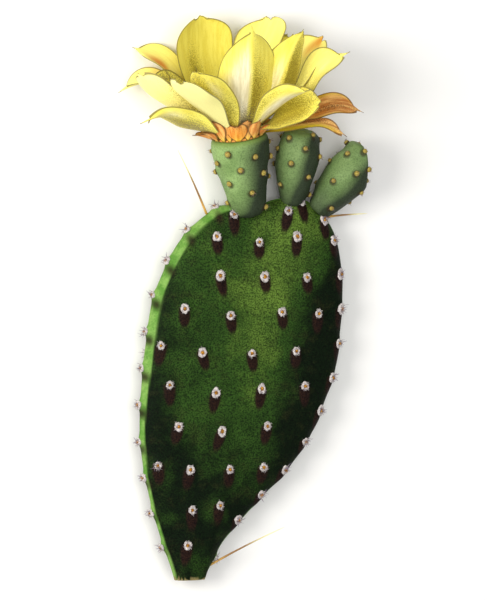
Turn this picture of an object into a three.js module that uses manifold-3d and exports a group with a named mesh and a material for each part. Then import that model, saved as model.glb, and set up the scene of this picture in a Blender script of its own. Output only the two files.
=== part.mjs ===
// A flowering prickly pear pad, as picked, lying on its back.
//
// The flat green pad carries one open yellow flower and two green buds on its top edge. Small woolly
// areoles stand on low bumps all over it, and a few of them hold a long spine.
// Units are millimetres. The pad's back touches the plane z = 0, +Z points up out of its front face and
// +Y runs from the cut foot to the flower. The origin is under the middle of the flat spot it rests on.
import * as THREE from 'three';
import { mergeVertices } from 'three/addons/utils/BufferGeometryUtils.js';
import Module from 'manifold-3d';

const wasm = await Module();
wasm.setup();

// ---------------------------------------------------------------- driving dimensions
const GAP = 0.3; // free space kept between two pieces that meet

const PAD_SIDES = 44;
const PAD_HALF_THICK = 7.5;
const PAD_MIDDLE = new THREE.Vector2(0, 0); // the faces are thickest here
const PAD_EDGE_POWER = 8; // the higher, the flatter the faces and the squarer the rim
const PAD_DOME = 0.2; // share of the thickness that the faces lose towards the rim
const PAD_TAPER = 0.22; // share of the thickness lost towards the foot and the top
const PAD_TAPER_REACH = 84;
const REST_TRIM = 0.3; // how deep the flat spot under the pad is cut into the back's dome
const PAD_MID_HEIGHT = PAD_HALF_THICK - REST_TRIM;
const FOOT_CUT_Y = -90; // the pad is cut from its plant here

// The pad's outline, anticlockwise from the right of the foot.
const PAD_OUTLINE = [
  [-12.5, -88], [-7.2, -77.7], [4.5, -64.5], [18.5, -51.5], [29.5, -37], [37.2, -20.5], [41.5, -6.5],
  [43.3, 11.2], [43.4, 26.8], [41.3, 39.9], [36.8, 48.8], [31, 54.6], [24.1, 57.8], [16.2, 56.7],
  [6.8, 54.2], [-1.9, 55.4], [-9.8, 53], [-19.8, 45.4], [-28.7, 32.1], [-35, 15.2], [-38.4, -11.3],
  [-39.3, -34], [-34.6, -62], [-26.5, -86], [-23, -95], [-15.5, -95],
];

const AREOLE_HEIGHT = 1.9; // top of the wool above the skin
const AREOLE_RADIUS = 1.9;
const BUMP_RADIUS = 3.0;
const BUMP_TAIL = 2.3; // a face bump reaches this many times further towards the foot
const RIM_PITCH = 14.4; // areoles along the rim
const ROW_PITCH = 15; // rows of areoles on the faces
const COLUMN_PITCH = 0.42; // areoles along a row, as a share of half the pad's width there
const ROW_SHIFT = 0.22; // each row starts this much further across than the row above it
const LOWER_ROW_SHIFT = 0.15; // the same below the pad's middle
const ROW_MIDDLE = -3; // the rows on the front are centred this far from the pad's middle
const ROW_RISE = 4.5; // how far a row's left end turns up
const AREOLE_SPACE = 7.5; // no two areoles are nearer than this
const STEM_SPACE = 9.4; // nor nearer than this to a flower or bud
const RIM_TURN_X = -8; // right of here the rim's areoles stand on the front's edge
const EDGE_SHARE = 0.95; // where that is, as a share of the way from the pad's middle to its rim

// Spines: where each stands on the rim, its length and its direction.
const SPINE_RADIUS = 0.5;
const SPINES = [
  { x: -12.2, y: 51.9, length: 28.5, towards: [-0.46, 0.9, 0.12] },
  { x: 37.4, y: 49.2, length: 16, towards: [0.98, 0.06, 0.16] },
  { x: -11.4, y: -85, length: 33, towards: [0.87, 0.44, 0.2] },
];

const OVARY_LENGTH = 32;
const OVARY_RIM_RADIUS = 11;
const OVARY_AREOLES = 21;
const FLOWER_FOOT = new THREE.Vector3(4.4, 50.8, 9.6);
const FLOWER_AXIS = new THREE.Vector3(-0.177, 0.978, 0.115).normalize();
const FLOWER_ROLL = 19; // degrees that the flower's own X axis is turned up from the ground

const PETAL_THICK = 0.8;
const PETAL_FLOOR = 0.9; // the lowest middle of a petal above the ground
const FLOOR_SOFTNESS = 1.2;

// The columns of the petal tables: degrees round the flower from its right, mean lean from its axis, how
// much more it leans at the tip than at the root, root radius, length, width and where it is widest. Then
// the cup and the keel of its cross-section, its twist, how far its tip is bent sideways, how much its tip
// curls, its wave, and the height of the point on its tip.
const PETAL_COLUMN_NAMES = [
  'at', 'lean', 'bend', 'root', 'long', 'wide', 'peak', 'cup', 'keel', 'twist', 'sway', 'curl', 'wave', 'tip',
];
const PETAL_RISE = 1.8; // the petals' roots above the flower's base
const PETAL_TABLE = [
  [225, 6, -60, 5.6, 47, 27, 0.74, 0.13, 0, -8, -1.6, 4, 0.8, 0.2],
  [292, 20, -24, 5.6, 42, 19.2, 0.84, 0.12, 0, 6, 10.3, 6, 0.8, 0.3],
  [67, 24, -24, 5.6, 48, 24, 0.5, 0.08, 0.24, -4, 0, 2, 0.8, 3],
  [24, 29, -40, 6, 46, 18, 0.54, 0.1, 0.24, -38, 0, 16, 1, 2.6],
  [268, 22, 0, 6, 30, 17, 0.66, 0.18, 0, 0, 0, 4, 0.8, 0.8],
  [163, 40, -6, 6.2, 37, 15, 0.66, 0.2, 0, -30, 0, 8, 0.8, 1],
  [106, 39, -6, 6.6, 43, 14.5, 0.46, 0.16, 0.06, 6, 4, 4, 0.8, 1.4],
  [345, 43, -24, 6.8, 43, 17, 0.7, 0.16, 0, 34, 0, 12, 1, 0.8],
  [186, 28, -14, 7, 46, 14, 0.78, 0.16, 0, -24, 0, 28, 1, 3.4],
  [4, 44, -70, 7.2, 45, 16.5, 0.76, 0.14, 0, 26, 0, 38, 1, 3.4],
  [325, 36, 0, 7.2, 38, 14, 0.6, 0.2, 0, 8, 0, 8, 0.8, 1],
  [54, 60, 22, 7.2, 44, 14, 0.72, 0.16, 0.12, -18, 0, 4, 0.9, 0.8],
  [117, 50, 12, 7.2, 45, 18, 0.74, 0.14, 0, -8, 2, -8, 1, 0.2],
  [146, 50, 4, 7.6, 47, 16.5, 0.68, 0.14, 0, 18, 0, -12, 1.1, 1],
  [240, 22, 0, 7.4, 34, 17, 0.66, 0.2, 0, 8, 0, 4, 0.8, 0.8],
  [174, 41, 0, 8, 44, 13.5, 0.62, 0.14, 0, -24, 0, 46, 1, 3.2],
  [33, 69, 14, 8, 32, 18, 0.64, 0.16, 0, 38, 0, 0, 1, 0.8],
  [205, 46, 8, 8, 33, 13, 0.66, 0.2, 0, 8, 0, 10, 1, 1.4],
  [336, 60, 16, 8, 32, 14, 0.66, 0.2, 0, 8, 0, 10, 1, 1.4],
  [138, 60, 2, 8, 41, 14, 0.46, 0.14, 0, 26, 0, 20, 1.2, 4.2],
];

// The outermost, rust-coloured tepals: two long ones on the right, and small scales all round the rim.
const TEPAL_RISE = 0.5;
const LONG_TEPAL_TABLE = [
  [355, 78.5, 4, 9.7, 38, 11, 0.64, 0.1, 0, 34, 0, 26, 1, 3.4],
  [14, 87, 8, 9.7, 32, 8, 0.42, 0.08, 0, 10, 0, 26, 1, 2.6],
];
// Each scale: degrees round the flower, mean lean, length, width and the height of its point.
const SCALE_TABLE = [
  [160, 62, 8, 6, 1.6], [142, 52, 8.5, 4.6, 2], [125, 34, 12.5, 5.6, 3], [111, 20, 9, 4.5, 1.2],
  [92, 30, 8, 8.4, 0.2], [71, 14, 8, 5.4, 1.2], [56, 32, 8.5, 6, 1.6], [37, 52, 8, 6, 1.4],
  [338, 62, 5.5, 6, 1.2], [316, 52, 6, 6, 1.2], [291, 34, 6, 6, 1.2], [266, 34, 5, 6, 1.2],
  [240, 40, 6.5, 6, 1.2], [212, 56, 6, 6, 1.2], [187, 62, 5, 6, 1.2],
];
const SCALE_SHAPE = {
  bend: 10, root: 9.9, peak: 0.5, cup: 0.22, keel: 0, twist: 0, sway: 0, curl: 6, wave: 0.2,
};

const STAMEN_COUNT = 42;
const STAMEN_LENGTH = 13;
const STAMEN_BED_RADIUS = 4.7;
const STYLE_LENGTH = 17;
const STIGMA_LOBES = 7;

// A bud's blunt is its width at the top over its full width; start turns its areoles.
const BUDS = [
  {
    name: 'bud_upright', foot: [22.3, 54.6, 8.2], axis: [0.07, 0.98, 0.17],
    length: 30, radius: 8.4, blunt: 0.72, areoles: 17, start: 20,
  },
  {
    name: 'bud_leaning', foot: [32.6, 51.4, 8.2], axis: [0.63, 0.75, 0.16],
    length: 31.5, radius: 8.9, blunt: 0.8, areoles: 18, start: 75,
    slant: { degrees: 46, reach: 19.4 }, // its flat top: tilt from the axis, and distance from the foot
  },
];

// ---------------------------------------------------------------- small helpers
const rad = THREE.MathUtils.degToRad;
const smooth = THREE.MathUtils.smoothstep;
const GOLDEN_TURN = Math.PI * (3 - Math.sqrt(5));

// The same numbers on every run, from a seed.
function seeded(seed) {
  let state = seed;
  return () => {
    state = (state * 1664525 + 1013904223) % 4294967296;
    return state / 4294967296;
  };
}

// A closed three.js geometry as a solid that can be joined and cut.
function solidOf(geometry, matrix = new THREE.Matrix4()) {
  const bare = new THREE.BufferGeometry().setAttribute('position', geometry.getAttribute('position').clone());
  if (geometry.index) bare.setIndex(geometry.index);
  const merged = mergeVertices(bare.applyMatrix4(matrix), 1e-4);
  const kept = [];
  const index = merged.index.array;
  for (let i = 0; i < index.length; i += 3) {
    const [a, b, c] = [index[i], index[i + 1], index[i + 2]];
    if (a !== b && b !== c && c !== a) kept.push(a, b, c);
  }
  return new wasm.Manifold(new wasm.Mesh({
    numProp: 3,
    vertProperties: new Float32Array(merged.getAttribute('position').array),
    triVerts: new Uint32Array(kept),
  }));
}

// A solid of revolution about Y, from a list of radii and heights.
function latheOf(profile, sides, matrix) {
  return solidOf(new THREE.LatheGeometry(profile.map(([r, h]) => new THREE.Vector2(r, h)), sides), matrix);
}

function joined(solids) {
  return solids.reduce((sum, solid) => sum.add(solid));
}

// The largest body of a solid: cutting can leave scraps.
function mainBody(solid) {
  return solid.decompose().reduce((best, body) => (body.volume() > best.volume() ? body : best));
}

function meshOf(name, solid, color, roughness) {
  const { vertProperties, triVerts } = mainBody(solid).getMesh();
  const geometry = new THREE.BufferGeometry();
  geometry.setAttribute('position', new THREE.BufferAttribute(new Float32Array(vertProperties), 3));
  geometry.setIndex(new THREE.BufferAttribute(new Uint32Array(triVerts), 1));
  geometry.computeVertexNormals();
  const mesh = new THREE.Mesh(geometry, new THREE.MeshStandardMaterial({ color, roughness, metalness: 0 }));
  mesh.name = name;
  return mesh;
}

// A closed geometry through a stack of rings of equal length, each end closed by one point.
function ringStack(start, rings, end) {
  const count = rings[0].length;
  const points = [start, ...rings.flat(), end];
  const last = points.length - 1;
  const index = [];
  for (let i = 0; i < count; i++) {
    const next = (i + 1) % count;
    index.push(0, 1 + next, 1 + i);
    for (let r = 0; r + 1 < rings.length; r++) {
      const [low, high] = [1 + r * count, 1 + (r + 1) * count];
      index.push(low + i, low + next, high + next, low + i, high + next, high + i);
    }
    const top = 1 + (rings.length - 1) * count;
    index.push(top + i, top + next, last);
  }
  return new THREE.BufferGeometry().setFromPoints(points).setIndex(index);
}

// A frame with its Z along a direction and its Y as near as it can be to another one.
function frameAt(position, outward, along) {
  const z = outward.clone().normalize();
  const x = new THREE.Vector3().crossVectors(along, z).normalize();
  const y = new THREE.Vector3().crossVectors(z, x);
  return new THREE.Matrix4().makeBasis(x, y, z).setPosition(position);
}

// ---------------------------------------------------------------- the pad's surface
const outlineCurve = new THREE.CatmullRomCurve3(
  PAD_OUTLINE.map(([x, y]) => new THREE.Vector3(x, y, 0)), true, 'catmullrom', 0.5,
);
const OUTLINE_STEPS = 520;
const outlinePolar = outlineCurve.getPoints(OUTLINE_STEPS).slice(0, -1)
  .map((p) => new THREE.Vector2(p.x, p.y).sub(PAD_MIDDLE))
  .map((p) => [Math.atan2(p.y, p.x), p.length()])
  .sort((a, b) => a[0] - b[0]);

// How far the outline is from the pad's middle, in a direction.
function rimRadius(angle) {
  const above = outlinePolar.findIndex(([a]) => a >= angle);
  const after = outlinePolar[above < 0 ? 0 : above];
  const before = outlinePolar.at((above < 0 ? 0 : above) - 1);
  const turn = 2 * Math.PI;
  const span = (after[0] - before[0] + turn) % turn;
  const share = ((angle - before[0] + turn) % turn) / (span || 1);
  return before[1] + (after[1] - before[1]) * share;
}

// The left and right end of the outline at a height.
function outlineAt(y) {
  const near = outlineCurve.getPoints(OUTLINE_STEPS).filter((p) => Math.abs(p.y - y) < 1.5).map((p) => p.x);
  return [Math.min(...near), Math.max(...near)];
}

// Half the pad's thickness at a place, s being 0 in the middle and 1 on the rim.
function halfThickness(y, s) {
  const taper = 1 - PAD_TAPER * ((y - PAD_MIDDLE.y) / PAD_TAPER_REACH) ** 2;
  return PAD_HALF_THICK * taper * Math.sqrt(Math.max(0, 1 - s ** PAD_EDGE_POWER)) * (1 - PAD_DOME * s * s);
}

// How far (x, y) is out from the pad's middle, as a share of the way to the rim.
function outlineShare(x, y) {
  const [dx, dy] = [x - PAD_MIDDLE.x, y - PAD_MIDDLE.y];
  return Math.hypot(dx, dy) / rimRadius(Math.atan2(dy, dx));
}

// A point of the skin over (x, y), on the front (side 1) or the back (side -1).
function skinPoint(x, y, side) {
  const s = Math.min(1, outlineShare(x, y));
  return new THREE.Vector3(x, y, PAD_MID_HEIGHT + side * halfThickness(y, s));
}

function skinNormal(x, y, side) {
  const step = 0.4;
  const p = skinPoint(x, y, side);
  const px = skinPoint(x + step, y, side).sub(p);
  const py = skinPoint(x, y + step, side).sub(p);
  return px.cross(py).multiplyScalar(side).normalize();
}

// ---------------------------------------------------------------- the pad
// The bare body, grown all round by a margin.
function padBody(margin, sides) {
  const shares = [0.3, 0.58, 0.78, 0.89, 0.95, 0.985];
  const ringAt = (s, side) => Array.from({ length: sides }, (_, i) => {
    const angle = ((i + 0.5) / sides) * 2 * Math.PI - Math.PI;
    const reach = (rimRadius(angle) + margin) * s;
    const [x, y] = [PAD_MIDDLE.x + Math.cos(angle) * reach, PAD_MIDDLE.y + Math.sin(angle) * reach];
    const grown = side ? halfThickness(y, s) + margin : 0;
    return new THREE.Vector3(x, y, PAD_MID_HEIGHT + side * grown);
  });
  const rings = [
    ...shares.map((s) => ringAt(s, -1)),
    ringAt(1, 0),
    ...shares.toReversed().map((s) => ringAt(s, 1)),
  ];
  const pole = (side) => new THREE.Vector3(
    PAD_MIDDLE.x, PAD_MIDDLE.y, PAD_MID_HEIGHT + side * (PAD_HALF_THICK + margin),
  );
  return solidOf(ringStack(pole(-1), rings, pole(1)));
}

// Areoles along the rim, evenly spaced, then on both faces in slanting rows, with none crowded.
function areolePlaces(stems) {
  const random = seeded(7);
  const places = [];
  const add = (x, y, side) => {
    const at = side ? skinPoint(x, y, side) : new THREE.Vector3(x, y, PAD_MID_HEIGHT);
    const isClear = at.y > FOOT_CUT_Y + 6 && stems.every((stem) => at.distanceTo(stem) > STEM_SPACE)
      && places.every((other) => at.distanceTo(other.at) > AREOLE_SPACE);
    if (isClear) places.push({ at, side });
  };
  const rimCount = Math.round(outlineCurve.getLength() / RIM_PITCH);
  for (let i = 0; i < rimCount; i++) {
    const { x, y } = outlineCurve.getPointAt((i + 0.5) / rimCount);
    if (x > RIM_TURN_X) add(x * EDGE_SHARE, y * EDGE_SHARE, 1);
    else add(x, y, 0);
  }
  for (const side of [1, -1]) {
    for (let row = -4; row <= 5; row++) {
      const y = -1.5 - row * ROW_PITCH - (row < 0 ? 0.2 * row * row : 0);
      const [left, right] = outlineAt(y);
      for (let column = -5; column <= 5; column++) {
        const shift = row > 0 ? row * LOWER_ROW_SHIFT : row * ROW_SHIFT + 0.02 * row * row;
        const even = 0.08 + column * COLUMN_PITCH + shift;
        const across = even * (1.22 - 0.27 * even * even);
        const middle = (left + right) / 2 + (side > 0 ? ROW_MIDDLE : 0);
        const x = middle + (side * across * (right - left)) / 2 + (random() - 0.5) * 1.6;
        const shaken = y + ROW_RISE * Math.max(0, -across) ** 1.5 + (random() - 0.5) * 2;
        if (Math.abs(even) < 0.96 && outlineShare(x, shaken) < 0.94) add(x, shaken, side);
      }
    }
  }
  return places;
}

// The outward frame at an areole, its Y pointing towards the flower.
function areoleFrame({ at, side }) {
  if (side) return frameAt(at, skinNormal(at.x, at.y, side), new THREE.Vector3(0, 1, 0));
  const angle = Math.atan2(at.y - PAD_MIDDLE.y, at.x - PAD_MIDDLE.x);
  const step = 0.05;
  const lean = Math.atan2(rimRadius(angle + step) - rimRadius(angle - step), 2 * step * rimRadius(angle));
  const normal = new THREE.Vector3(Math.cos(angle - lean), Math.sin(angle - lean), 0);
  return frameAt(at, normal, new THREE.Vector3(0, 0, 1));
}

// One areole: a low bump, drawn out towards the foot on the faces, with a tuft of wool on its top.
function areoleSolid(tail, sides) {
  const profile = [
    [0, -1.6], [BUMP_RADIUS, -1.0], [AREOLE_RADIUS, 0.9], [0, AREOLE_HEIGHT],
  ].map(([r, h]) => new THREE.Vector2(r, h));
  const geometry = new THREE.LatheGeometry(profile, sides).rotateX(Math.PI / 2);
  const position = geometry.getAttribute('position');
  for (let i = 0; i < position.count; i++) {
    const isSkirt = position.getZ(i) < 0.5;
    if (isSkirt && position.getY(i) < 0) position.setY(i, position.getY(i) * tail);
  }
  return geometry;
}

function spineSolid({ x, y, length, towards }) {
  const way = new THREE.Vector3(...towards).normalize();
  const cone = new THREE.ConeGeometry(SPINE_RADIUS, length + 2, 5).rotateX(Math.PI / 2);
  cone.translate(0, 0, length / 2 - 1);
  return solidOf(cone, frameAt(new THREE.Vector3(x, y, PAD_MID_HEIGHT), way, new THREE.Vector3(0.1, 0.2, 1)));
}

function padSolid() {
  const stems = [FLOWER_FOOT, ...BUDS.map(({ foot }) => new THREE.Vector3(...foot))];
  const areoles = areolePlaces(stems).map((place) => solidOf(
    areoleSolid(place.side ? BUMP_TAIL : 1, 5), areoleFrame(place),
  ));
  const whole = joined([padBody(0, PAD_SIDES), ...areoles, ...SPINES.map(spineSolid)]);
  const ground = new THREE.BoxGeometry(400, 400, 20).translate(0, 0, -10);
  const beyondFoot = new THREE.BoxGeometry(80, 40, 40).translate(-20, FOOT_CUT_Y - 20, PAD_MID_HEIGHT);
  return whole.subtract(solidOf(ground)).subtract(solidOf(beyondFoot));
}

// ---------------------------------------------------------------- the flower's green ovary and the buds
// A body of revolution about +Y, from a list of radii and heights, with areoles in a golden spiral.
function studdedSolid(profile, sides, areoleCount, areoleScale, start) {
  const curve = new THREE.CatmullRomCurve3(profile.map(([r, h]) => new THREE.Vector3(r, h, 0)));
  const points = curve.getPoints(8).map((p) => new THREE.Vector2(Math.max(0, p.x), p.y));
  points[0].x = 0;
  points.push(new THREE.Vector2(0, points.at(-1).y));
  const body = solidOf(new THREE.LatheGeometry(points, sides));
  const bump = new THREE.LatheGeometry(
    [[0, -1.2], [1.5, -0.8], [1.0, 0.9], [0, 1.4]].map(([r, h]) => new THREE.Vector2(r, h)), 5,
  ).rotateX(Math.PI / 2).scale(areoleScale, areoleScale, areoleScale);
  const studs = Array.from({ length: areoleCount }, (_, i) => {
    const along = 0.1 + 0.82 * Math.sqrt((i + 0.5) / areoleCount);
    const on = curve.getPointAt(Math.min(1, along));
    const tangent = curve.getTangentAt(Math.min(1, along));
    const turn = start + i * GOLDEN_TURN;
    const [c, s] = [Math.cos(turn), Math.sin(turn)];
    const outward = new THREE.Vector3(tangent.y * c, -tangent.x, tangent.y * s);
    const place = new THREE.Vector3(on.x * c, on.y, on.x * s);
    return solidOf(bump, frameAt(place, outward, new THREE.Vector3(0, 1, 0)));
  });
  return joined([body, ...studs]);
}

const OVARY_PROFILE = [
  [0, 0], [3.6, 0.2], [5.7, 1.8], [7.0, 5], [8.2, 11], [9.4, 17], [10.5, 23],
  [11.2, 27.5], [OVARY_RIM_RADIUS, 30.5], [10.2, OVARY_LENGTH],
];

function budSolid({ length, radius, blunt, areoles, start, slant }) {
  const profile = [
    [0, 0], [radius * 0.42, 0.2], [radius * 0.62, length * 0.12], [radius * 0.86, length * 0.36],
    [radius, length * 0.62], [radius * 0.9, length * 0.82], [radius * blunt, length * 0.95],
    [radius * blunt * 0.45, length],
  ];
  const whole = studdedSolid(profile, 12, areoles, 0.95, rad(start));
  if (!slant) return whole;
  const beyond = new THREE.BoxGeometry(60, 40, 60).translate(0, slant.reach + 20, 0);
  return whole.subtract(solidOf(beyond, new THREE.Matrix4().makeRotationZ(-rad(slant.degrees))));
}

// ---------------------------------------------------------------- petals
const tableOf = (rows, rise) => rows.map((row) => ({
  rise, ...Object.fromEntries(row.map((value, i) => [PETAL_COLUMN_NAMES[i], value])),
}));
const PETALS = tableOf(PETAL_TABLE, PETAL_RISE);
const LONG_TEPALS = tableOf(LONG_TEPAL_TABLE, TEPAL_RISE);
const SCALES = SCALE_TABLE.map(([at, lean, long, wide, tip]) => ({
  ...SCALE_SHAPE, rise: TEPAL_RISE, at, lean, long, wide, tip,
}));

const PETAL_GRID = { rows: [0, 0.2, 0.42, 0.64, 0.82, 0.94, 1], columns: [-1, -0.55, 0, 0.55, 1] };
const SCALE_GRID = { rows: [0, 0.6, 1], columns: [-1, 0, 1] };
const PETAL_BASE_SHARE = 0.22; // root width over full width
const CURVE_STEPS = 20;

// Half of a petal's width along its length, as a share: narrow root, widest at its peak, and an end that
// is round on a blunt petal and tapers on one with a high point.
function widthShare(u, { peak, tip }) {
  const rise = PETAL_BASE_SHARE + (1 - PETAL_BASE_SHARE) * smooth(u, -0.06, peak);
  const past = Math.max(0, (u - peak) / (1 - peak));
  return rise * Math.max(0.05, 1 - past ** 2.4) ** (0.42 + 0.12 * tip);
}

// A point of a petal's middle surface in the flower's frame: u from root to tip, v across from -1 to 1.
function petalPoint(petal, u, v) {
  let [radius, height] = [petal.root, petal.rise];
  const leanAt = (t) => rad(petal.lean + petal.bend * (t - 0.5) + petal.curl * 1.6 * smooth(t, 0.62, 1));
  for (let i = 0; i < CURVE_STEPS; i++) {
    const t = (u * (i + 0.5)) / CURVE_STEPS;
    radius += (Math.sin(leanAt(t)) * petal.long * u) / CURVE_STEPS;
    height += (Math.cos(leanAt(t)) * petal.long * u) / CURVE_STEPS;
  }
  const half = (petal.wide / 2) * widthShare(u, petal);
  const phase = petal.at * 0.7;
  const edge = Math.abs(v);
  const point = petal.tip * (1 - edge) ** 3 * smooth(u, 0.8, 1);
  const ripple = petal.wave * 0.7 * Math.sin(5 * v + phase) * smooth(u, 0.55, 1);
  const across = v * half;
  const inward = half * (petal.cup * v * v * 2 + petal.keel * edge) * smooth(u, 0.08, 0.6)
    + petal.wave * Math.sin(7 * u + phase + v) * v * v * smooth(u, 0.3, 0.9);
  const twist = rad(petal.twist * smooth(u, 0, 0.5));
  const lean = leanAt(u);
  const around = rad(petal.at);
  const outward = new THREE.Vector3(Math.cos(around), 0, Math.sin(around));
  const axis = new THREE.Vector3(0, 1, 0);
  const tangent = outward.clone().multiplyScalar(Math.sin(lean)).addScaledVector(axis, Math.cos(lean));
  const level = new THREE.Vector3(-Math.sin(around), 0, Math.cos(around));
  const side = level.clone().applyAxisAngle(tangent, twist);
  const normal = new THREE.Vector3().crossVectors(side, tangent);
  return outward.multiplyScalar(radius)
    .addScaledVector(axis, height)
    .addScaledVector(level, petal.sway * u * u)
    .addScaledVector(side, across)
    .addScaledVector(normal, inward)
    .addScaledVector(tangent, point + ripple);
}

// A thin closed blade: the middle surface, kept off the ground, with half the thickness on either face
// and a margin all round.
function petalSolid(petal, margin, flowerToWorld) {
  const worldToFlower = flowerToWorld.clone().invert();
  const pattern = petal.long > 15 ? PETAL_GRID : SCALE_GRID;
  const grid = pattern.rows.map((u) => pattern.columns.map((v) => {
    const wider = Math.abs(v) < 1 ? 1 : 1 + (2 * margin) / (petal.wide * widthShare(u, petal));
    const p = petalPoint(petal, u, v * wider).applyMatrix4(flowerToWorld);
    const above = p.z - PETAL_FLOOR;
    p.z = PETAL_FLOOR + 0.5 * (above + Math.hypot(above, FLOOR_SOFTNESS));
    return p.applyMatrix4(worldToFlower);
  }));
  const [rows, columns] = [grid.length, grid[0].length];
  const at = (r, c) => grid[Math.max(0, Math.min(rows - 1, r))][Math.max(0, Math.min(columns - 1, c))];
  const faces = [1, -1].map((side) => grid.map((row, r) => row.map((p, c) => {
    const alongRow = at(r + 1, c).clone().sub(at(r - 1, c));
    const alongColumn = at(r, c + 1).clone().sub(at(r, c - 1));
    const normal = alongRow.cross(alongColumn).normalize();
    return p.clone().addScaledVector(normal, side * (PETAL_THICK / 2 + margin));
  })));
  const points = faces.flat(2);
  const id = (face, r, c) => face * rows * columns + r * columns + c;
  const index = [];
  const quad = (a, b, c, d) => index.push(a, b, c, a, c, d);
  for (let r = 0; r + 1 < rows; r++) {
    for (let c = 0; c + 1 < columns; c++) {
      quad(id(0, r, c), id(0, r + 1, c), id(0, r + 1, c + 1), id(0, r, c + 1));
      index.push(id(1, r, c), id(1, r + 1, c + 1), id(1, r + 1, c));
      index.push(id(1, r, c), id(1, r, c + 1), id(1, r + 1, c + 1));
    }
    quad(id(0, r, 0), id(1, r, 0), id(1, r + 1, 0), id(0, r + 1, 0));
    quad(id(0, r, columns - 1), id(0, r + 1, columns - 1), id(1, r + 1, columns - 1), id(1, r, columns - 1));
  }
  for (let c = 0; c + 1 < columns; c++) {
    quad(id(0, 0, c), id(0, 0, c + 1), id(1, 0, c + 1), id(1, 0, c));
    quad(id(0, rows - 1, c), id(1, rows - 1, c), id(1, rows - 1, c + 1), id(0, rows - 1, c + 1));
  }
  const solid = solidOf(new THREE.BufferGeometry().setFromPoints(points).setIndex(index));
  if (solid.volume() > 0) return solid;
  return solidOf(new THREE.BufferGeometry().setFromPoints(points).setIndex(index.toReversed()));
}

// ---------------------------------------------------------------- the flower's inside
const BED_HEIGHT = 2.6;

function stamenSolid() {
  const random = seeded(31);
  const hole = 2.4;
  const bed = latheOf([
    [hole, BED_HEIGHT], [STAMEN_BED_RADIUS, BED_HEIGHT], [STAMEN_BED_RADIUS, BED_HEIGHT + 1.2],
    [hole, BED_HEIGHT + 2.2], [hole, BED_HEIGHT],
  ], 14);
  const stamens = Array.from({ length: STAMEN_COUNT }, (_, i) => {
    const share = Math.sqrt((i + 0.5) / STAMEN_COUNT);
    const turn = i * GOLDEN_TURN;
    const radius = hole + 0.5 + (STAMEN_BED_RADIUS - hole - 0.9) * share;
    const length = STAMEN_LENGTH * (1.08 - 0.32 * share + 0.14 * random());
    const lean = rad(1 + 6 * share + 2 * random());
    const way = new THREE.Vector3().setFromSphericalCoords(1, lean, Math.PI / 2 - turn);
    const turned = new THREE.Quaternion().setFromUnitVectors(new THREE.Vector3(0, 1, 0), way);
    const root = new THREE.Vector3(radius * Math.cos(turn), BED_HEIGHT + 0.6, radius * Math.sin(turn));
    const profile = [[0, 0], [0.36, 0], [0.28, length], [0.75, length + 0.6], [0, length + 2]];
    return latheOf(profile, 3, new THREE.Matrix4().makeRotationFromQuaternion(turned).setPosition(root));
  });
  return joined([bed, ...stamens]);
}

function styleSolid() {
  const lobes = Array.from({ length: STIGMA_LOBES }, (_, i) => {
    const turn = (i / STIGMA_LOBES) * 2 * Math.PI;
    const matrix = new THREE.Matrix4().makeRotationY(-turn)
      .multiply(new THREE.Matrix4().makeTranslation(1.25, STYLE_LENGTH, 0))
      .multiply(new THREE.Matrix4().makeRotationZ(-0.3));
    return latheOf([[0, 0], [0.75, 1.2], [0.8, 3], [0, 4.4]], 4, matrix);
  });
  const column = latheOf([
    [0, BED_HEIGHT], [1.6, BED_HEIGHT], [1.2, 6], [1.5, STYLE_LENGTH - 3], [1.9, STYLE_LENGTH + 1],
    [0, STYLE_LENGTH + 2],
  ], 8);
  return joined([column, ...lobes]);
}

// ---------------------------------------------------------------- the assembly
// The group of something that grows from the pad: its Y is the axis, its X is turned up by a roll.
function stemGroup(foot, axis, roll) {
  const right = new THREE.Vector3().crossVectors(axis, new THREE.Vector3(0, 0, 1)).normalize();
  const up = new THREE.Vector3().crossVectors(right, axis);
  const x = right.multiplyScalar(Math.cos(rad(roll))).addScaledVector(up, Math.sin(rad(roll)));
  const z = new THREE.Vector3().crossVectors(x, axis);
  const group = new THREE.Group();
  group.position.copy(foot);
  group.quaternion.setFromRotationMatrix(new THREE.Matrix4().makeBasis(x, axis, z));
  group.updateMatrixWorld(true);
  return group;
}

const root = new THREE.Group();

root.add(meshOf('pad', padSolid(), 0x2e5a27, 0.6));

const padToClear = padBody(GAP, PAD_SIDES);
const inFrameOf = (group, solid) => solid.transform(group.matrixWorld.clone().invert().elements);

const flower = stemGroup(FLOWER_FOOT, FLOWER_AXIS, FLOWER_ROLL);
const ovary = studdedSolid(OVARY_PROFILE, 16, OVARY_AREOLES, 1.0, 0.4);
flower.add(meshOf('ovary', ovary.subtract(inFrameOf(flower, padToClear)), 0x63955a, 0.55));

const bloom = new THREE.Group();
bloom.position.y = OVARY_LENGTH + GAP;
flower.add(bloom);
flower.updateMatrixWorld(true);
const bloomToWorld = bloom.matrixWorld;

const bowl = latheOf([[0, 0], [8.6, 0], [8.9, 1.5], [8.8, 3.2], [6.6, 2.6], [5.6, 2.0], [0, 2.0]], 20);
const petals = joined([bowl, ...PETALS.map((petal) => petalSolid(petal, 0, bloomToWorld))]);
const petalsToClear = joined([
  latheOf([[0, -0.3], [8.8, -0.3], [9.3, 1.5], [9.1, 3.5], [6.6, 2.9], [5.6, 2.3], [0, 2.3]], 20),
  ...PETALS.map((petal) => petalSolid(petal, GAP, bloomToWorld)),
]);
bloom.add(meshOf('petals', petals, 0xf2dc3c, 0.5));

const collar = latheOf([[9.4, 0], [10.5, 0], [10.5, 1], [9.4, 1], [9.4, 0]], 18);
const tepals = joined([
  collar, ...[...LONG_TEPALS, ...SCALES].map((tepal) => petalSolid(tepal, 0, bloomToWorld)),
]);
bloom.add(meshOf('outer_tepals', tepals.subtract(petalsToClear), 0xc9762c, 0.55));

bloom.add(meshOf('stamens', stamenSolid(), 0xefe6a0, 0.6));
bloom.add(meshOf('style', styleSolid(), 0xd8d6cc, 0.5));
root.add(flower);

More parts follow.
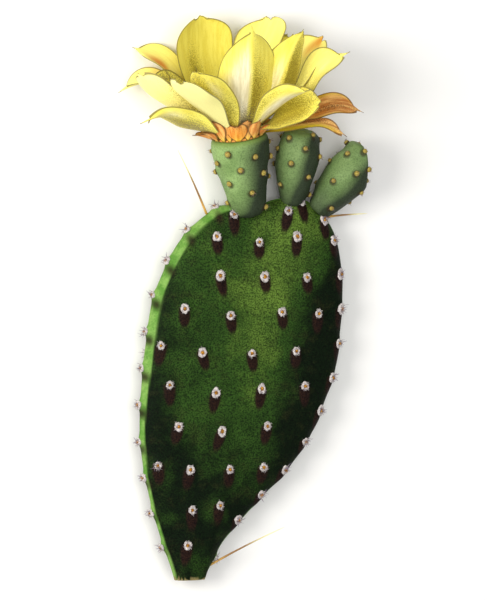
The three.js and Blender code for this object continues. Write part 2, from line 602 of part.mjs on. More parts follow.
for (const bud of BUDS) {
  const group = stemGroup(new THREE.Vector3(...bud.foot), new THREE.Vector3(...bud.axis).normalize(), 0);
  group.add(meshOf(bud.name, budSolid(bud).subtract(inFrameOf(group, padToClear)), 0x6da35c, 0.55));
  root.add(group);
}

export default root;
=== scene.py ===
"""A flowering prickly pear pad, as picked, lying on its back on a pale floor.

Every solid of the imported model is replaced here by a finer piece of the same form, with the wool,
bristles, veins and colours that the solid leaves out. Lengths are millimetres until a mesh is made.
The pad lies in the XY plane: +Z points up out of its front and +Y from the cut foot to the flower.
"""

import bmesh
import bpy
import numpy as np
from mathutils import Matrix


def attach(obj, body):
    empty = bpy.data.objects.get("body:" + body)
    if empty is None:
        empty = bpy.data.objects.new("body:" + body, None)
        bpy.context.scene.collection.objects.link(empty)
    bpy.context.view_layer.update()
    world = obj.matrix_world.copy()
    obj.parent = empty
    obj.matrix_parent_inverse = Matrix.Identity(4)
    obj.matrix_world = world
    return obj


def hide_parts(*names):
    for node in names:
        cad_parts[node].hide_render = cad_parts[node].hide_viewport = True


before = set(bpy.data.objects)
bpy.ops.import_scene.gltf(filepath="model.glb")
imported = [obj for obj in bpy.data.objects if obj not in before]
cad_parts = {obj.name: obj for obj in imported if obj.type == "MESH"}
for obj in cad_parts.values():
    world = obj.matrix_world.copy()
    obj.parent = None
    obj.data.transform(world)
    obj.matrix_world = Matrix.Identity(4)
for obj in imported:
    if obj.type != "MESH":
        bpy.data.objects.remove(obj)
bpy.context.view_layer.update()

MM = 0.001  # metres

# ---- the solids' own dimensions
PAD_HALF_THICK = 7.5
PAD_EDGE_POWER = 8  # the higher, the flatter the faces and the squarer the rim
PAD_DOME = 0.2  # share of the thickness that the faces lose towards the rim
PAD_TAPER = 0.22  # share of the thickness lost towards the foot and the top
PAD_TAPER_REACH = 84
REST_TRIM = 0.3  # how deep the flat spot under the pad is cut into the back's dome
PAD_MID_HEIGHT = PAD_HALF_THICK - REST_TRIM
FOOT_CUT_Y = -90

# The pad's outline, anticlockwise from the right of the foot.
PAD_OUTLINE = [
    (-12.5, -88), (-7.2, -77.7), (4.5, -64.5), (18.5, -51.5), (29.5, -37), (37.2, -20.5), (41.5, -6.5),
    (43.3, 11.2), (43.4, 26.8), (41.3, 39.9), (36.8, 48.8), (31, 54.6), (24.1, 57.8), (16.2, 56.7),
    (6.8, 54.2), (-1.9, 55.4), (-9.8, 53), (-19.8, 45.4), (-28.7, 32.1), (-35, 15.2), (-38.4, -11.3),
    (-39.3, -34), (-34.6, -62), (-26.5, -86), (-23, -95), (-15.5, -95),
]

# The rule of the areoles. Along a row, places are shares of half the pad's width there.
AREOLE_SEED = 7
AREOLE_SPACE = 7.5  # no two areoles are nearer than this
STEM_SPACE = 9.4  # nor nearer than this to a flower or bud
FOOT_SPACE = 6  # nor to the cut foot
RIM_PITCH = 14.4
RIM_TURN_X = -8  # right of here the rim's areoles stand on the front's edge
EDGE_SHARE = 0.95  # where that is, as a share of the way from the pad's middle to its rim
ROWS = range(-4, 6)  # counted downwards from the row at the pad's middle
ROW_START_Y = -1.5
ROW_PITCH = 15
UPPER_ROW_SPREAD = 0.2
ROW_SHIFT = 0.22  # each row starts this much further across than the row above it
UPPER_ROW_BEND = 0.02
LOWER_ROW_SHIFT = 0.15  # the same below the middle row
ROW_MIDDLE = -3  # how far the front's rows are centred from the outline's middle
ROW_RISE = 4.5  # how far a row's left end turns up
COLUMNS = range(-5, 6)
COLUMN_START = 0.08
COLUMN_PITCH = 0.42
COLUMN_SPREAD, COLUMN_CROWD = 1.22, 0.27  # columns lie closer towards the rim
ROW_LIMIT = 0.96  # a row's evenly spaced places end here
FACE_LIMIT = 0.94  # and its areoles here, as a share of the way from the pad's middle to its rim
SHAKE_X, SHAKE_Y = 1.6, 2  # the span within which each areole is shaken off its place
BUMP_TAIL = 2.3  # a face bump reaches this many times further towards the foot

SPINES = [  # foot x and y, length and direction
    (-12.2, 51.9, 28.5, (-0.46, 0.9, 0.12)),
    (37.4, 49.2, 16, (0.98, 0.06, 0.16)),
    (-11.4, -85, 33, (0.87, 0.44, 0.2)),
]

OVARY_LENGTH = 32
OVARY_GAP = 0.3
OVARY_AREOLES = 21
OVARY_PROFILE = [
    (0, 0), (3.6, 0.2), (5.7, 1.8), (7, 5), (8.2, 11), (9.4, 17), (10.5, 23), (11.2, 27.5), (11, 30.5),
    (10.2, OVARY_LENGTH),
]
FLOWER_FOOT = (4.4, 50.8, 9.6)
FLOWER_AXIS = (-0.177, 0.978, 0.115)
FLOWER_ROLL = 19  # degrees that the flower's own X axis is turned up from the ground

PETAL_FLOOR = 0.9  # the lowest middle of a petal above the ground
FLOOR_SOFTNESS = 1.2
PETAL_RISE = 1.8  # the petals' roots above the flower's base
TEPAL_RISE = 0.5
PETAL_BASE_SHARE = 0.22

# The columns of the petal tables: degrees round the flower from its right, mean lean from its axis, how
# much more it leans at the tip than at the root, root radius, length, width and where it is widest. Then
# the cup and the keel of its cross-section, its twist, how far its tip is bent sideways, how much its tip
# curls, its wave, and the height of the point on its tip.
PETAL_COLUMNS = "at lean bend root long wide peak cup keel twist sway curl wave tip".split()
PETAL_TABLE = [
    (225, 6, -60, 5.6, 47, 27, 0.74, 0.13, 0, -8, -1.6, 4, 0.8, 0.2),
    (292, 20, -24, 5.6, 42, 19.2, 0.84, 0.12, 0, 6, 10.3, 6, 0.8, 0.3),
    (67, 24, -24, 5.6, 48, 24, 0.5, 0.08, 0.24, -4, 0, 2, 0.8, 3),
    (24, 29, -40, 6, 46, 18, 0.54, 0.1, 0.24, -38, 0, 16, 1, 2.6),
    (268, 22, 0, 6, 30, 17, 0.66, 0.18, 0, 0, 0, 4, 0.8, 0.8),
    (163, 40, -6, 6.2, 37, 15, 0.66, 0.2, 0, -30, 0, 8, 0.8, 1),
    (106, 39, -6, 6.6, 43, 14.5, 0.46, 0.16, 0.06, 6, 4, 4, 0.8, 1.4),
    (345, 43, -24, 6.8, 43, 17, 0.7, 0.16, 0, 34, 0, 12, 1, 0.8),
    (186, 28, -14, 7, 46, 14, 0.78, 0.16, 0, -24, 0, 28, 1, 3.4),
    (4, 44, -70, 7.2, 45, 16.5, 0.76, 0.14, 0, 26, 0, 38, 1, 3.4),
    (325, 36, 0, 7.2, 38, 14, 0.6, 0.2, 0, 8, 0, 8, 0.8, 1),
    (54, 60, 22, 7.2, 44, 14, 0.72, 0.16, 0.12, -18, 0, 4, 0.9, 0.8),
    (117, 50, 12, 7.2, 45, 18, 0.74, 0.14, 0, -8, 2, -8, 1, 0.2),
    (146, 50, 4, 7.6, 47, 16.5, 0.68, 0.14, 0, 18, 0, -12, 1.1, 1),
    (240, 22, 0, 7.4, 34, 17, 0.66, 0.2, 0, 8, 0, 4, 0.8, 0.8),
    (174, 41, 0, 8, 44, 13.5, 0.62, 0.14, 0, -24, 0, 46, 1, 3.2),
    (33, 69, 14, 8, 32, 18, 0.64, 0.16, 0, 38, 0, 0, 1, 0.8),
    (205, 46, 8, 8, 33, 13, 0.66, 0.2, 0, 8, 0, 10, 1, 1.4),
    (336, 60, 16, 8, 32, 14, 0.66, 0.2, 0, 8, 0, 10, 1, 1.4),
    (138, 60, 2, 8, 41, 14, 0.46, 0.14, 0, 26, 0, 20, 1.2, 4.2),
]
LONG_TEPAL_TABLE = [
    (355, 78.5, 4, 9.7, 38, 11, 0.64, 0.1, 0, 34, 0, 26, 1, 3.4),
    (14, 87, 8, 9.7, 32, 8, 0.42, 0.08, 0, 10, 0, 26, 1, 2.6),
]
SCALE_TABLE = [  # degrees round the flower, mean lean, length, width and the height of the point
    (160, 62, 8, 6, 1.6), (142, 52, 8.5, 4.6, 2), (125, 34, 12.5, 5.6, 3), (111, 20, 9, 4.5, 1.2),
    (92, 30, 8, 8.4, 0.2), (71, 14, 8, 5.4, 1.2), (56, 32, 8.5, 6, 1.6), (37, 52, 8, 6, 1.4),
    (338, 62, 5.5, 6, 1.2), (316, 52, 6, 6, 1.2), (291, 34, 6, 6, 1.2), (266, 34, 5, 6, 1.2),
    (240, 40, 6.5, 6, 1.2), (212, 56, 6, 6, 1.2), (187, 62, 5, 6, 1.2),
]
SCALE_SHAPE = dict(
    rise=0.25, bend=10, root=10.15, peak=0.5, cup=0.22, keel=0, twist=0, sway=0, curl=6, wave=0.2,
)

STAMEN_BED_HEIGHT = 2.6
STAMEN_BED_RADIUS = 4.7
STAMEN_BED_HOLE = 2.4
STAMEN_LENGTH = 13
STYLE_LENGTH = 17
STIGMA_LOBES = 7

# A bud's blunt is its width at the top over its full width; start turns its areoles. A slant is a flat
# top: its tilt from the axis in degrees, and its distance from the foot.
BUDS = [
    dict(name="bud_upright", foot=(22.3, 54.6, 8.2), axis=(0.07, 0.98, 0.17), length=30, radius=8.4,
         blunt=0.72, areoles=17, start=20, slant=None),
    dict(name="bud_leaning", foot=(32.6, 51.4, 8.2), axis=(0.63, 0.75, 0.16), length=31.5, radius=8.9,
         blunt=0.8, areoles=18, start=75, slant=(46, 19.4)),
]

# ---- numbers and vectors
GOLDEN_TURN = np.pi * (3 - np.sqrt(5))
X, Y, Z = np.eye(3)


def smooth(x, low, high):
    """A soft step from 0 at low to 1 at high."""
    t = np.clip((np.asarray(x, float) - low) / (high - low), 0, 1)
    return t * t * (3 - 2 * t)


def hill(x, middle, width):
    return np.exp(-(((np.asarray(x, float) - middle) / width) ** 2))


def unit(v):
    v = np.asarray(v, float)
    return v / np.maximum(np.linalg.norm(v, axis=-1, keepdims=True), 1e-12)


def circle(count):
    """That many angles, evenly round a full turn."""
    return 2 * np.pi * np.arange(count) / count


def above_floor(points, softness=0.3, floor=0.0):
    """Points below the floor are pressed flat on it, as wool, bristles and petals are."""
    points = np.array(points, float)
    above = points[..., 2] - floor
    points[..., 2] = floor + 0.5 * (above + np.hypot(above, softness))
    return points


def basis_at(outward, along):
    """Rows X, Y, Z: Z is outward, and Y as near to along as it can be."""
    z = unit(outward)
    x = unit(np.cross(along, z))
    return np.array([x, np.cross(z, x), z])


def catmull_rom(points, steps, closed):
    """A smooth curve through points, with that many steps from each point to the next."""
    p = np.asarray(points, float)
    if closed:
        before, start, after, beyond = np.roll(p, 1, 0), p, np.roll(p, -1, 0), np.roll(p, -2, 0)
    else:
        whole = np.vstack([2 * p[0] - p[1], p, 2 * p[-1] - p[-2]])
        before, start, after, beyond = whole[:-3], whole[1:-2], whole[2:-1], whole[3:]
    t = np.linspace(0, 1, steps, endpoint=False)[None, :, None]
    a, b, c, d = (q[:, None, :] for q in (before, start, after, beyond))
    curve = 0.5 * (2 * b + (c - a) * t + (2 * a - 5 * b + 4 * c - d) * t**2 + (3 * b - a - 3 * c + d) * t**3)
    curve = curve.reshape(-1, p.shape[1])
    return curve if closed else np.vstack([curve, p[-1]])


def lengths_along(path):
    return np.concatenate([[0], np.cumsum(np.linalg.norm(np.diff(path, axis=0), axis=1))])


def evenly(path, count):
    """That many points, evenly spaced along a path from its start to its end."""
    along = lengths_along(path)
    wanted = np.linspace(0, along[-1], count)
    return np.stack([np.interp(wanted, along, path[:, k]) for k in range(path.shape[1])], -1)


# ---- shapes and meshes
def new_object(name, data):
    """An object in the scene, made from a mesh, a lamp or a camera."""
    thing = bpy.data.objects.new(name, data)
    bpy.context.scene.collection.objects.link(thing)
    return thing


class Shape:
    """Points, faces and values at the points, gathered from many small forms into one mesh."""

    def __init__(self):
        self.points, self.faces, self.values, self.count = [], [], [], 0

    def add(self, points, faces, **values):
        points = np.asarray(points, float).reshape(-1, 3)
        self.points.append(points)
        self.faces += [tuple(int(i) + self.count for i in face) for face in faces]
        self.values.append({k: np.broadcast_to(v, len(points)).astype(float) for k, v in values.items()})
        self.count += len(points)

    def piece(self, name, material, slot, node):
        """The gathered forms as one object that replaces this node of the frame."""
        mesh = bpy.data.meshes.new(name)
        mesh.from_pydata((np.concatenate(self.points) * MM).tolist(), [], self.faces)
        for key in sorted({key for values in self.values for key in values}):
            parts = [v.get(key, np.zeros(len(p))) for v, p in zip(self.values, self.points)]
            attribute = mesh.attributes.new(key, "FLOAT", "POINT")
            attribute.data.foreach_set("value", np.concatenate(parts).astype(np.float32))
        shell = bmesh.new()
        shell.from_mesh(mesh)
        bmesh.ops.recalc_face_normals(shell, faces=shell.faces)
        shell.to_mesh(mesh)
        shell.free()
        mesh.polygons.foreach_set("use_smooth", [True] * len(mesh.polygons))
        mesh.materials.append(material)
        piece = new_object(name, mesh)
        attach(piece, "root")
        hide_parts(node)


def grid_faces(rows, columns, wraps):
    """Four-sided faces over rows of points, which close on themselves where the grid wraps."""
    r, c = np.meshgrid(np.arange(rows - 1), np.arange(columns if wraps else columns - 1), indexing="ij")
    here, there = r * columns, (r + 1) * columns
    n = (c + 1) % columns
    return np.stack([here + c, here + n, there + n, there + c], -1).reshape(-1, 4)


def hoop_faces(count, sides):
    """Faces of a closed hoop of that many cross-sections, each with that many sides."""
    last = (count - 1) * sides
    joint = [(last + j, last + (j + 1) % sides, (j + 1) % sides, j) for j in range(sides)]
    return np.vstack([grid_faces(count, sides, True), joint])


def closed_rings(rings, start, end):
    """A closed form through a stack of rings, each end closed by one point."""
    count, columns = rings.shape[:2]
    points = np.vstack([rings.reshape(-1, 3), start, end])
    faces = [tuple(face) for face in grid_faces(count, columns, True)]
    low, high = count * columns, count * columns + 1
    for i in range(columns):
        n = (i + 1) % columns
        faces.append((low, n, i))
        faces.append((high, (count - 1) * columns + i, (count - 1) * columns + n))
    return points, faces


def with_ends(values):
    """Values at the rings of such a form, followed by those at its two end points."""
    return np.append(values.ravel(), [values[0].mean(), values[-1].mean()])


def lathe(profile, sides, origin=(0, 0, 0), basis=np.eye(3)):
    """A form turned about its own Z, from radii and heights that start and end on the axis."""
    profile = np.asarray(profile, float)
    turn = circle(sides)
    radius, height = profile[1:-1, :1], profile[1:-1, 1:]
    rings = np.stack([radius * np.cos(turn), radius * np.sin(turn), np.repeat(height, sides, 1)], -1)
    points, faces = closed_rings(rings, (0, 0, profile[0][1]), (0, 0, profile[-1][1]))
    return points @ basis + np.asarray(origin, float), faces


def tube(path, radii, sides):
    """A closed round rod along a path."""
    path = np.asarray(path, float)
    along = unit(np.gradient(path, axis=0))
    first = unit(np.cross(Z if abs(along[0][2]) < 0.9 else X, along[0]))
    across = unit(first - along * (along @ first)[:, None])
    other = np.cross(along, across)
    turn = circle(sides)[None, :, None]
    ring = across[:, None] * np.cos(turn) + other[:, None] * np.sin(turn)
    rings = path[:, None] + ring * np.asarray(radii, float)[:, None, None]
    return closed_rings(rings, path[0] - along[0] * radii[0] * 0.3, path[-1] + along[-1] * radii[-1])


def shares_along(t, sides):
    """How far along a tube each of its points is, from the shares t of its path."""
    return np.append(np.repeat(t, sides), [0, 1])


def bristle(shape, root, way, length, radius, random, bend, sides):
    """A thin tapered hair with a slight random bend."""
    way = unit(way)
    side = unit(np.cross(way, random.normal(size=3)))
    t = np.linspace(0, 1, 4)
    bow = t**2 * length * bend * random.uniform(0, 1)
    path = np.asarray(root) + np.outer(t * length, way) + np.outer(bow, side)
    points, faces = tube(path, radius * (1 - 0.8 * t), sides)
    shape.add(above_floor(points, 0.1), faces, along=shares_along(t, sides))


def tuft(shape, count, spread, reach, height, lengths, at, basis, random, radius=0.13, bend=0.4, sides=4):
    """Bristles that stand in a small patch and lean at random."""
    for _ in range(count):
        way = np.array([*random.normal(0, spread, 2), 1])
        root = np.array([*random.uniform(-reach, reach, 2), height])
        length = random.uniform(*lengths)
        bristle(shape, root @ basis + at, way @ basis, length, radius, random, bend, sides)


# ---- materials
MIX_A, MIX_B, MIX_RESULT = 6, 7, 2  # the colour sockets of a Mix node


def srgb(red, green, blue):
    """A colour as seen, 0 to 255, turned into linear light."""
    seen = np.array([red, green, blue]) / 255
    linear = np.where(seen <= 0.04045, seen / 12.92, ((seen + 0.055) / 1.055) ** 2.4)
    return (*linear.tolist(), 1.0)


class Paint:
    """A material and short words for its nodes."""

    def __init__(self, name, roughness, specular, sheen=0.0):
        self.material = bpy.data.materials.new(name)
        self.material.use_nodes = True
        self.tree = self.material.node_tree
        self.shader = self.tree.nodes["Principled BSDF"]
        self.shader.inputs["Roughness"].default_value = roughness
        self.shader.inputs["Specular IOR Level"].default_value = specular
        self.shader.inputs["Sheen Weight"].default_value = sheen
        self.place = self.node("ShaderNodeTexCoord").outputs["Object"]

    def node(self, kind, **settings):
        node = self.tree.nodes.new(kind)
        for key, value in settings.items():
            setattr(node, key, value)
        return node

    def put(self, socket, value):
        if isinstance(value, bpy.types.NodeSocket):
            self.tree.links.new(value, socket)
        else:
            socket.default_value = value

    def value(self, name):
        """A value that the mesh holds at its points."""
        return self.node("ShaderNodeAttribute", attribute_name=name).outputs["Fac"]

    def math(self, operation, a, b):
        node = self.node("ShaderNodeMath", operation=operation)
        self.put(node.inputs[0], a)
        self.put(node.inputs[1], b)
        return node.outputs[0]

    def sum(self, a, b):
        return self.math("ADD", a, b)

    def product(self, a, b):
        return self.math("MULTIPLY", a, b)

    def ramp(self, value, low, high, out_low=0.0, out_high=1.0):
        node = self.node("ShaderNodeMapRange", interpolation_type="SMOOTHSTEP")
        self.put(node.inputs["Value"], value)
        for key, number in (("From Min", low), ("From Max", high), ("To Min", out_low), ("To Max", out_high)):
            node.inputs[key].default_value = number
        return node.outputs["Result"]

    def mix(self, share, a, b, blend="MIX"):
        node = self.node("ShaderNodeMix", data_type="RGBA", blend_type=blend)
        self.put(node.inputs["Factor"], share)
        self.put(node.inputs[MIX_A], a)
        self.put(node.inputs[MIX_B], b)
        return node.outputs[MIX_RESULT]

    def fade(self, value, a, b, low=0.35, high=0.65):
        """From colour a, where the value is at low, to colour b, where it is at high."""
        return self.mix(self.ramp(value, low, high), a, b)

    def tinted(self, colour, red, green, blue):
        return self.mix(1.0, colour, (red, green, blue, 1), "MULTIPLY")

    def noise(self, size, detail=3.0, rough=0.6, place=None):
        """Noise with features of that size in millimetres."""
        node = self.node("ShaderNodeTexNoise")
        self.put(node.inputs["Vector"], place or self.place)
        node.inputs["Scale"].default_value = 1 / (size * MM)
        node.inputs["Detail"].default_value = detail
        node.inputs["Roughness"].default_value = rough
        return node.outputs["Fac"]

    def stretched(self, x, y, z):
        """A place made of three values, for a grain that follows them."""
        node = self.node("ShaderNodeCombineXYZ")
        for socket, value in zip(node.inputs, (x, y, z)):
            self.put(socket, value)
        return node.outputs[0]

    def relief(self, height, depth):
        """Bump of that depth in millimetres."""
        node = self.node("ShaderNodeBump")
        self.put(node.inputs["Height"], height)
        node.inputs["Distance"].default_value = depth * MM
        self.tree.links.new(node.outputs["Normal"], self.shader.inputs["Normal"])

    def skin_relief(self, grain, size, depth):
        """The grain on top of coarser, stronger bumps of that size."""
        self.relief(self.sum(grain, self.product(self.noise(size), 1.5)), depth)

    def finish(self, colour, roughness=None):
        self.put(self.shader.inputs["Base Color"], colour)
        if roughness is not None:
            self.put(self.shader.inputs["Roughness"], roughness)
        return self.material


def pad_skin_paint():
    paint = Paint("pad_skin", roughness=0.62, specular=0.05)
    grain = paint.noise(0.55, 2, 0.7)
    cloud = paint.noise(15, 3, 0.55)
    # light is the painted light and shade on the face, with a cloudy random tone added
    light = paint.sum(paint.value("light"), paint.ramp(cloud, 0.35, 0.7, -0.16, 0.16))
    colour = paint.fade(light, srgb(7, 18, 6), srgb(36, 60, 20), 0, 0.5)
    colour = paint.fade(light, colour, srgb(76, 100, 38), 0.45, 1.05)
    colour = paint.mix(paint.ramp(paint.noise(6, 4, 0.7), 0.5, 0.68, 0, 0.3), colour, srgb(40, 42, 20))
    deep, bright = paint.tinted(colour, 0.34, 0.34, 0.36), paint.tinted(colour, 1.7, 1.7, 1.6)
    colour = paint.fade(grain, deep, bright, 0.34, 0.66)
    # the rim's own light green, which also paints the highlight on the band along the left edge
    rim = paint.fade(paint.noise(5), srgb(86, 132, 52), srgb(122, 160, 80))
    rim = paint.mix(paint.ramp(grain, 0.45, 0.7, 0, 0.4), rim, srgb(58, 92, 40))
    colour = paint.mix(paint.value("rim"), colour, rim)
    # the dark patches below the areoles: pigment and painted shadow
    stain_and_shadow = paint.fade(grain, srgb(14, 7, 8), srgb(42, 26, 19))
    colour = paint.fade(paint.value("patch"), colour, stain_and_shadow, 0.1, 0.9)
    cork = paint.fade(grain, srgb(188, 176, 120), srgb(150, 128, 84))
    colour = paint.mix(paint.value("cut"), colour, cork)
    paint.skin_relief(grain, 3.2, 0.2)
    return paint.finish(colour, paint.ramp(grain, 0.3, 0.7, 0.52, 0.66))


def young_skin_paint():
    paint = Paint("young_skin", roughness=0.58, specular=0.15)
    grain = paint.noise(0.6, 2, 0.7)
    colour = paint.fade(paint.noise(9, 3, 0.55), srgb(108, 136, 78), srgb(134, 162, 100), 0.3, 0.7)
    colour = paint.mix(paint.value("shade"), colour, srgb(34, 42, 32))
    colour = paint.mix(paint.ramp(grain, 0.42, 0.7, 0, 0.75), colour, paint.tinted(colour, 0.55, 0.55, 0.55))
    # stud is a painted shadow round and below each stud
    colour = paint.mix(paint.value("stud"), colour, srgb(46, 38, 20))
    colour = paint.mix(paint.value("top"), colour, srgb(104, 128, 62))
    paint.skin_relief(grain, 2.5, 0.16)
    return paint.finish(colour, paint.ramp(grain, 0.3, 0.7, 0.5, 0.64))


def wool_paint():
    paint = Paint("wool", roughness=0.9, specular=0.1, sheen=0.3)
    strand = paint.noise(0.35, 3, 0.7)
    paint.relief(strand, 0.25)
    return paint.finish(paint.fade(strand, srgb(140, 130, 136), srgb(226, 219, 212)))


def heart_paint():
    paint = Paint("areole_heart", roughness=0.7, specular=0.2)
    strand = paint.noise(0.4, 3, 0.7)
    paint.relief(strand, 0.2)
    return paint.finish(paint.fade(strand, srgb(96, 54, 22), srgb(206, 148, 44), 0.38, 0.62))


def stud_paint():
    paint = Paint("stud", roughness=0.65, specular=0.2)
    strand = paint.noise(0.45, 3, 0.7)
    gold = paint.fade(strand, srgb(98, 80, 30), srgb(168, 150, 72), 0.3, 0.6)
    paint.relief(strand, 0.15)
    return paint.finish(paint.fade(paint.value("along"), gold, srgb(52, 38, 18), 0.62, 0.25))


def bristle_paint(name, root, tip):
    paint = Paint(name, roughness=0.6, specular=0.3)
    along = paint.sum(paint.value("along"), paint.ramp(paint.noise(1.2, 2), 0.3, 0.7, -0.2, 0.2))
    return paint.finish(paint.mix(along, root, tip))


def spine_paint():
    paint = Paint("spine", roughness=0.4, specular=0.5)
    along = paint.value("along")
    streak = paint.noise(0.8)
    colour = paint.fade(along, srgb(196, 150, 66), srgb(136, 98, 48), 0.1, 0.3)
    colour = paint.fade(along, colour, srgb(232, 222, 150), 0.45, 0.8)
    colour = paint.mix(paint.ramp(streak, 0.5, 0.8, 0, 0.3), colour, srgb(80, 46, 26))
    paint.relief(streak, 0.05)
    return paint.finish(colour, paint.ramp(streak, 0.3, 0.7, 0.35, 0.5))


def petal_grain(paint):
    """Fine veins and streaks that run along a petal."""
    along = paint.product(paint.value("along_mm"), 0.12 * MM)
    across = paint.product(paint.value("across_mm"), MM)
    return paint.noise(1.1, place=paint.stretched(across, along, paint.value("petal_id")))


def inked(paint, colour, ink):
    """A petal's colour with a dark line along its edge."""
    return paint.mix(paint.ramp(paint.value("edge"), 0, 1, 0, 0.8), colour, ink)


def petal_paint():
    paint = Paint("petal", roughness=0.6, specular=0.15, sheen=0.05)
    vein = petal_grain(paint)
    speck = paint.noise(0.42, 2, 0.7)
    stipple = paint.ramp(speck, 0.3, 0.7, -0.3, 0.3)
    yellow = paint.fade(vein, srgb(236, 221, 90), srgb(246, 234, 108))
    # olive is painted shade, cream a painted highlight and grey a painted shadow
    olive = paint.fade(speck, srgb(176, 158, 44), srgb(142, 126, 34))
    cream = paint.fade(vein, srgb(222, 210, 166), srgb(244, 236, 200))
    colour = paint.mix(paint.value("pale"), yellow, srgb(246, 238, 156))
    colour = paint.fade(paint.sum(paint.value("olive"), stipple), colour, olive, 0.12, 1.0)
    colour = paint.fade(paint.value("cream"), colour, cream, 0.1, 0.9)
    colour = paint.fade(paint.sum(paint.value("grey"), stipple), colour, srgb(120, 112, 92), 0.22, 1.05)
    colour = paint.fade(paint.value("orange"), colour, srgb(214, 136, 40), 0.0, 1.0)
    colour = paint.mix(paint.value("rust"), colour, srgb(182, 104, 58))
    paint.relief(vein, 0.08)
    return paint.finish(inked(paint, colour, srgb(106, 94, 48)), paint.ramp(vein, 0.3, 0.7, 0.52, 0.64))


def tepal_paint():
    paint = Paint("outer_tepal", roughness=0.62, specular=0.15)
    vein = petal_grain(paint)
    speck = paint.noise(0.45, 2, 0.7)
    rust = paint.fade(vein, srgb(190, 120, 60), srgb(240, 190, 114))
    gold = paint.fade(vein, srgb(210, 122, 34), srgb(232, 158, 58))
    colour = paint.mix(paint.value("gold"), rust, gold)
    colour = paint.mix(paint.value("yellow"), colour, srgb(240, 216, 52))
    dark = paint.sum(paint.value("dark"), paint.ramp(speck, 0.3, 0.7, -0.4, 0.4))
    colour = paint.fade(dark, colour, srgb(92, 50, 26), 0.1, 1.0)
    paint.relief(vein, 0.12)
    return paint.finish(inked(paint, colour, srgb(84, 56, 32)))


def stamen_paint():
    paint = Paint("stamen", roughness=0.6, specular=0.25)
    dust = paint.noise(0.3, 3, 0.7)
    filament = paint.mix(paint.value("along"), srgb(206, 196, 92), srgb(238, 220, 110))
    pollen = paint.fade(dust, srgb(232, 206, 96), srgb(255, 248, 206))
    paint.relief(dust, 0.08)
    return paint.finish(paint.mix(paint.value("pollen"), filament, pollen))


def style_paint():
    paint = Paint("style", roughness=0.5, specular=0.3)
    down = paint.noise(0.3, 3, 0.7)
    column = paint.fade(down, srgb(206, 200, 176), srgb(236, 232, 214))
    lobe = paint.fade(down, srgb(196, 200, 150), srgb(232, 232, 190))
    paint.relief(down, 0.08)
    return paint.finish(paint.mix(paint.value("lobe"), column, lobe))


# ---- the pad's outline and areoles
OUTLINE = catmull_rom(PAD_OUTLINE, 20, True)
OUTLINE_ANGLE = np.arctan2(OUTLINE[:, 1], OUTLINE[:, 0])
OUTLINE_REACH = np.hypot(OUTLINE[:, 0], OUTLINE[:, 1])


def rim_radius(angle):
    return np.interp(angle, OUTLINE_ANGLE, OUTLINE_REACH, period=2 * np.pi)


def half_thickness(y, share):
    taper = 1 - PAD_TAPER * (y / PAD_TAPER_REACH) ** 2
    edge = np.sqrt(np.maximum(0, 1 - share**PAD_EDGE_POWER))
    return PAD_HALF_THICK * taper * edge * (1 - PAD_DOME * share**2)


def outline_share(x, y):
    """How far a place is out from the pad's middle, as a share of the way to the rim."""
    return np.hypot(x, y) / rim_radius(np.arctan2(y, x))


def skin_point(x, y, side):
    share = np.minimum(1, outline_share(x, y))
    return np.array([x, y, PAD_MID_HEIGHT + side * half_thickness(y, share)])


def skin_normal(x, y, side, step=0.4):
    here = skin_point(x, y, side)
    normal = np.cross(skin_point(x + step, y, side) - here, skin_point(x, y + step, side) - here)
    return unit(normal * side)


def linear_random(seed):
    """The number sequence that the solid's areoles are shaken by."""
    state = seed
    while True:
        state = (state * 1664525 + 1013904223) % 4294967296
        yield state / 4294967296


def areole_places():
    """Where the solid has its areoles: (point, side), side 0 being the rim, 1 the front, -1 the back."""
    random = linear_random(AREOLE_SEED)
    stems = [np.array(FLOWER_FOOT)] + [np.array(bud["foot"]) for bud in BUDS]
    places = []

    def add(x, y, side):
        at = skin_point(x, y, side) if side else np.array([x, y, PAD_MID_HEIGHT])
        clear = y > FOOT_CUT_Y + FOOT_SPACE and all(np.linalg.norm(at - o) > STEM_SPACE for o in stems)
        if clear and all(np.linalg.norm(at - o) > AREOLE_SPACE for o, _ in places):
            places.append((at, side))

    loop = np.vstack([OUTLINE, OUTLINE[:1]])
    along = lengths_along(loop)
    count = round(along[-1] / RIM_PITCH)
    for i in range(count):
        at = (i + 0.5) / count * along[-1]
        x, y = (np.interp(at, along, loop[:, k]) for k in (0, 1))
        if x > RIM_TURN_X:
            add(x * EDGE_SHARE, y * EDGE_SHARE, 1)
        else:
            add(x, y, 0)
    for side in (1, -1):
        for row in ROWS:
            y = ROW_START_Y - row * ROW_PITCH - (UPPER_ROW_SPREAD * row * row if row < 0 else 0)
            shift = row * LOWER_ROW_SHIFT if row > 0 else row * ROW_SHIFT + UPPER_ROW_BEND * row * row
            near = OUTLINE[np.abs(OUTLINE[:, 1] - y) < 1.5][:, 0]
            left, right = near.min(), near.max()
            middle = (left + right) / 2 + (ROW_MIDDLE if side > 0 else 0)
            for column in COLUMNS:
                even = COLUMN_START + column * COLUMN_PITCH + shift
                across = even * (COLUMN_SPREAD - COLUMN_CROWD * even * even)
                x = middle + side * across * (right - left) / 2 + (next(random) - 0.5) * SHAKE_X
                shaken = y + ROW_RISE * max(0, -across) ** 1.5 + (next(random) - 0.5) * SHAKE_Y
                if abs(even) < ROW_LIMIT and outline_share(x, shaken) < FACE_LIMIT:
                    add(x, shaken, side)
    return places


def areole_basis(at, side):
    """The outward frame at an areole, its Y pointing towards the flower, or up on the rim."""
    if side:
        return basis_at(skin_normal(at[0], at[1], side), Y)
    angle, step = np.arctan2(at[1], at[0]), 0.05
    lean = np.arctan2(rim_radius(angle + step) - rim_radius(angle - step), 2 * step * rim_radius(angle))
    return basis_at([np.cos(angle - lean), np.sin(angle - lean), 0], Z)


# A few more, too near the feet of the flower and the buds for the solid to have a bump there.
FOOT_AREOLES = [(-2.6, 51.4), (19.6, 52.2), (25.2, 55.4), (34.6, 48.2)]
EVERY_AREOLE = areole_places() + [(skin_point(x, y, 1), 1) for x, y in FOOT_AREOLES]
AREOLES = [(at, side, areole_basis(at, side)) for at, side in EVERY_AREOLE]

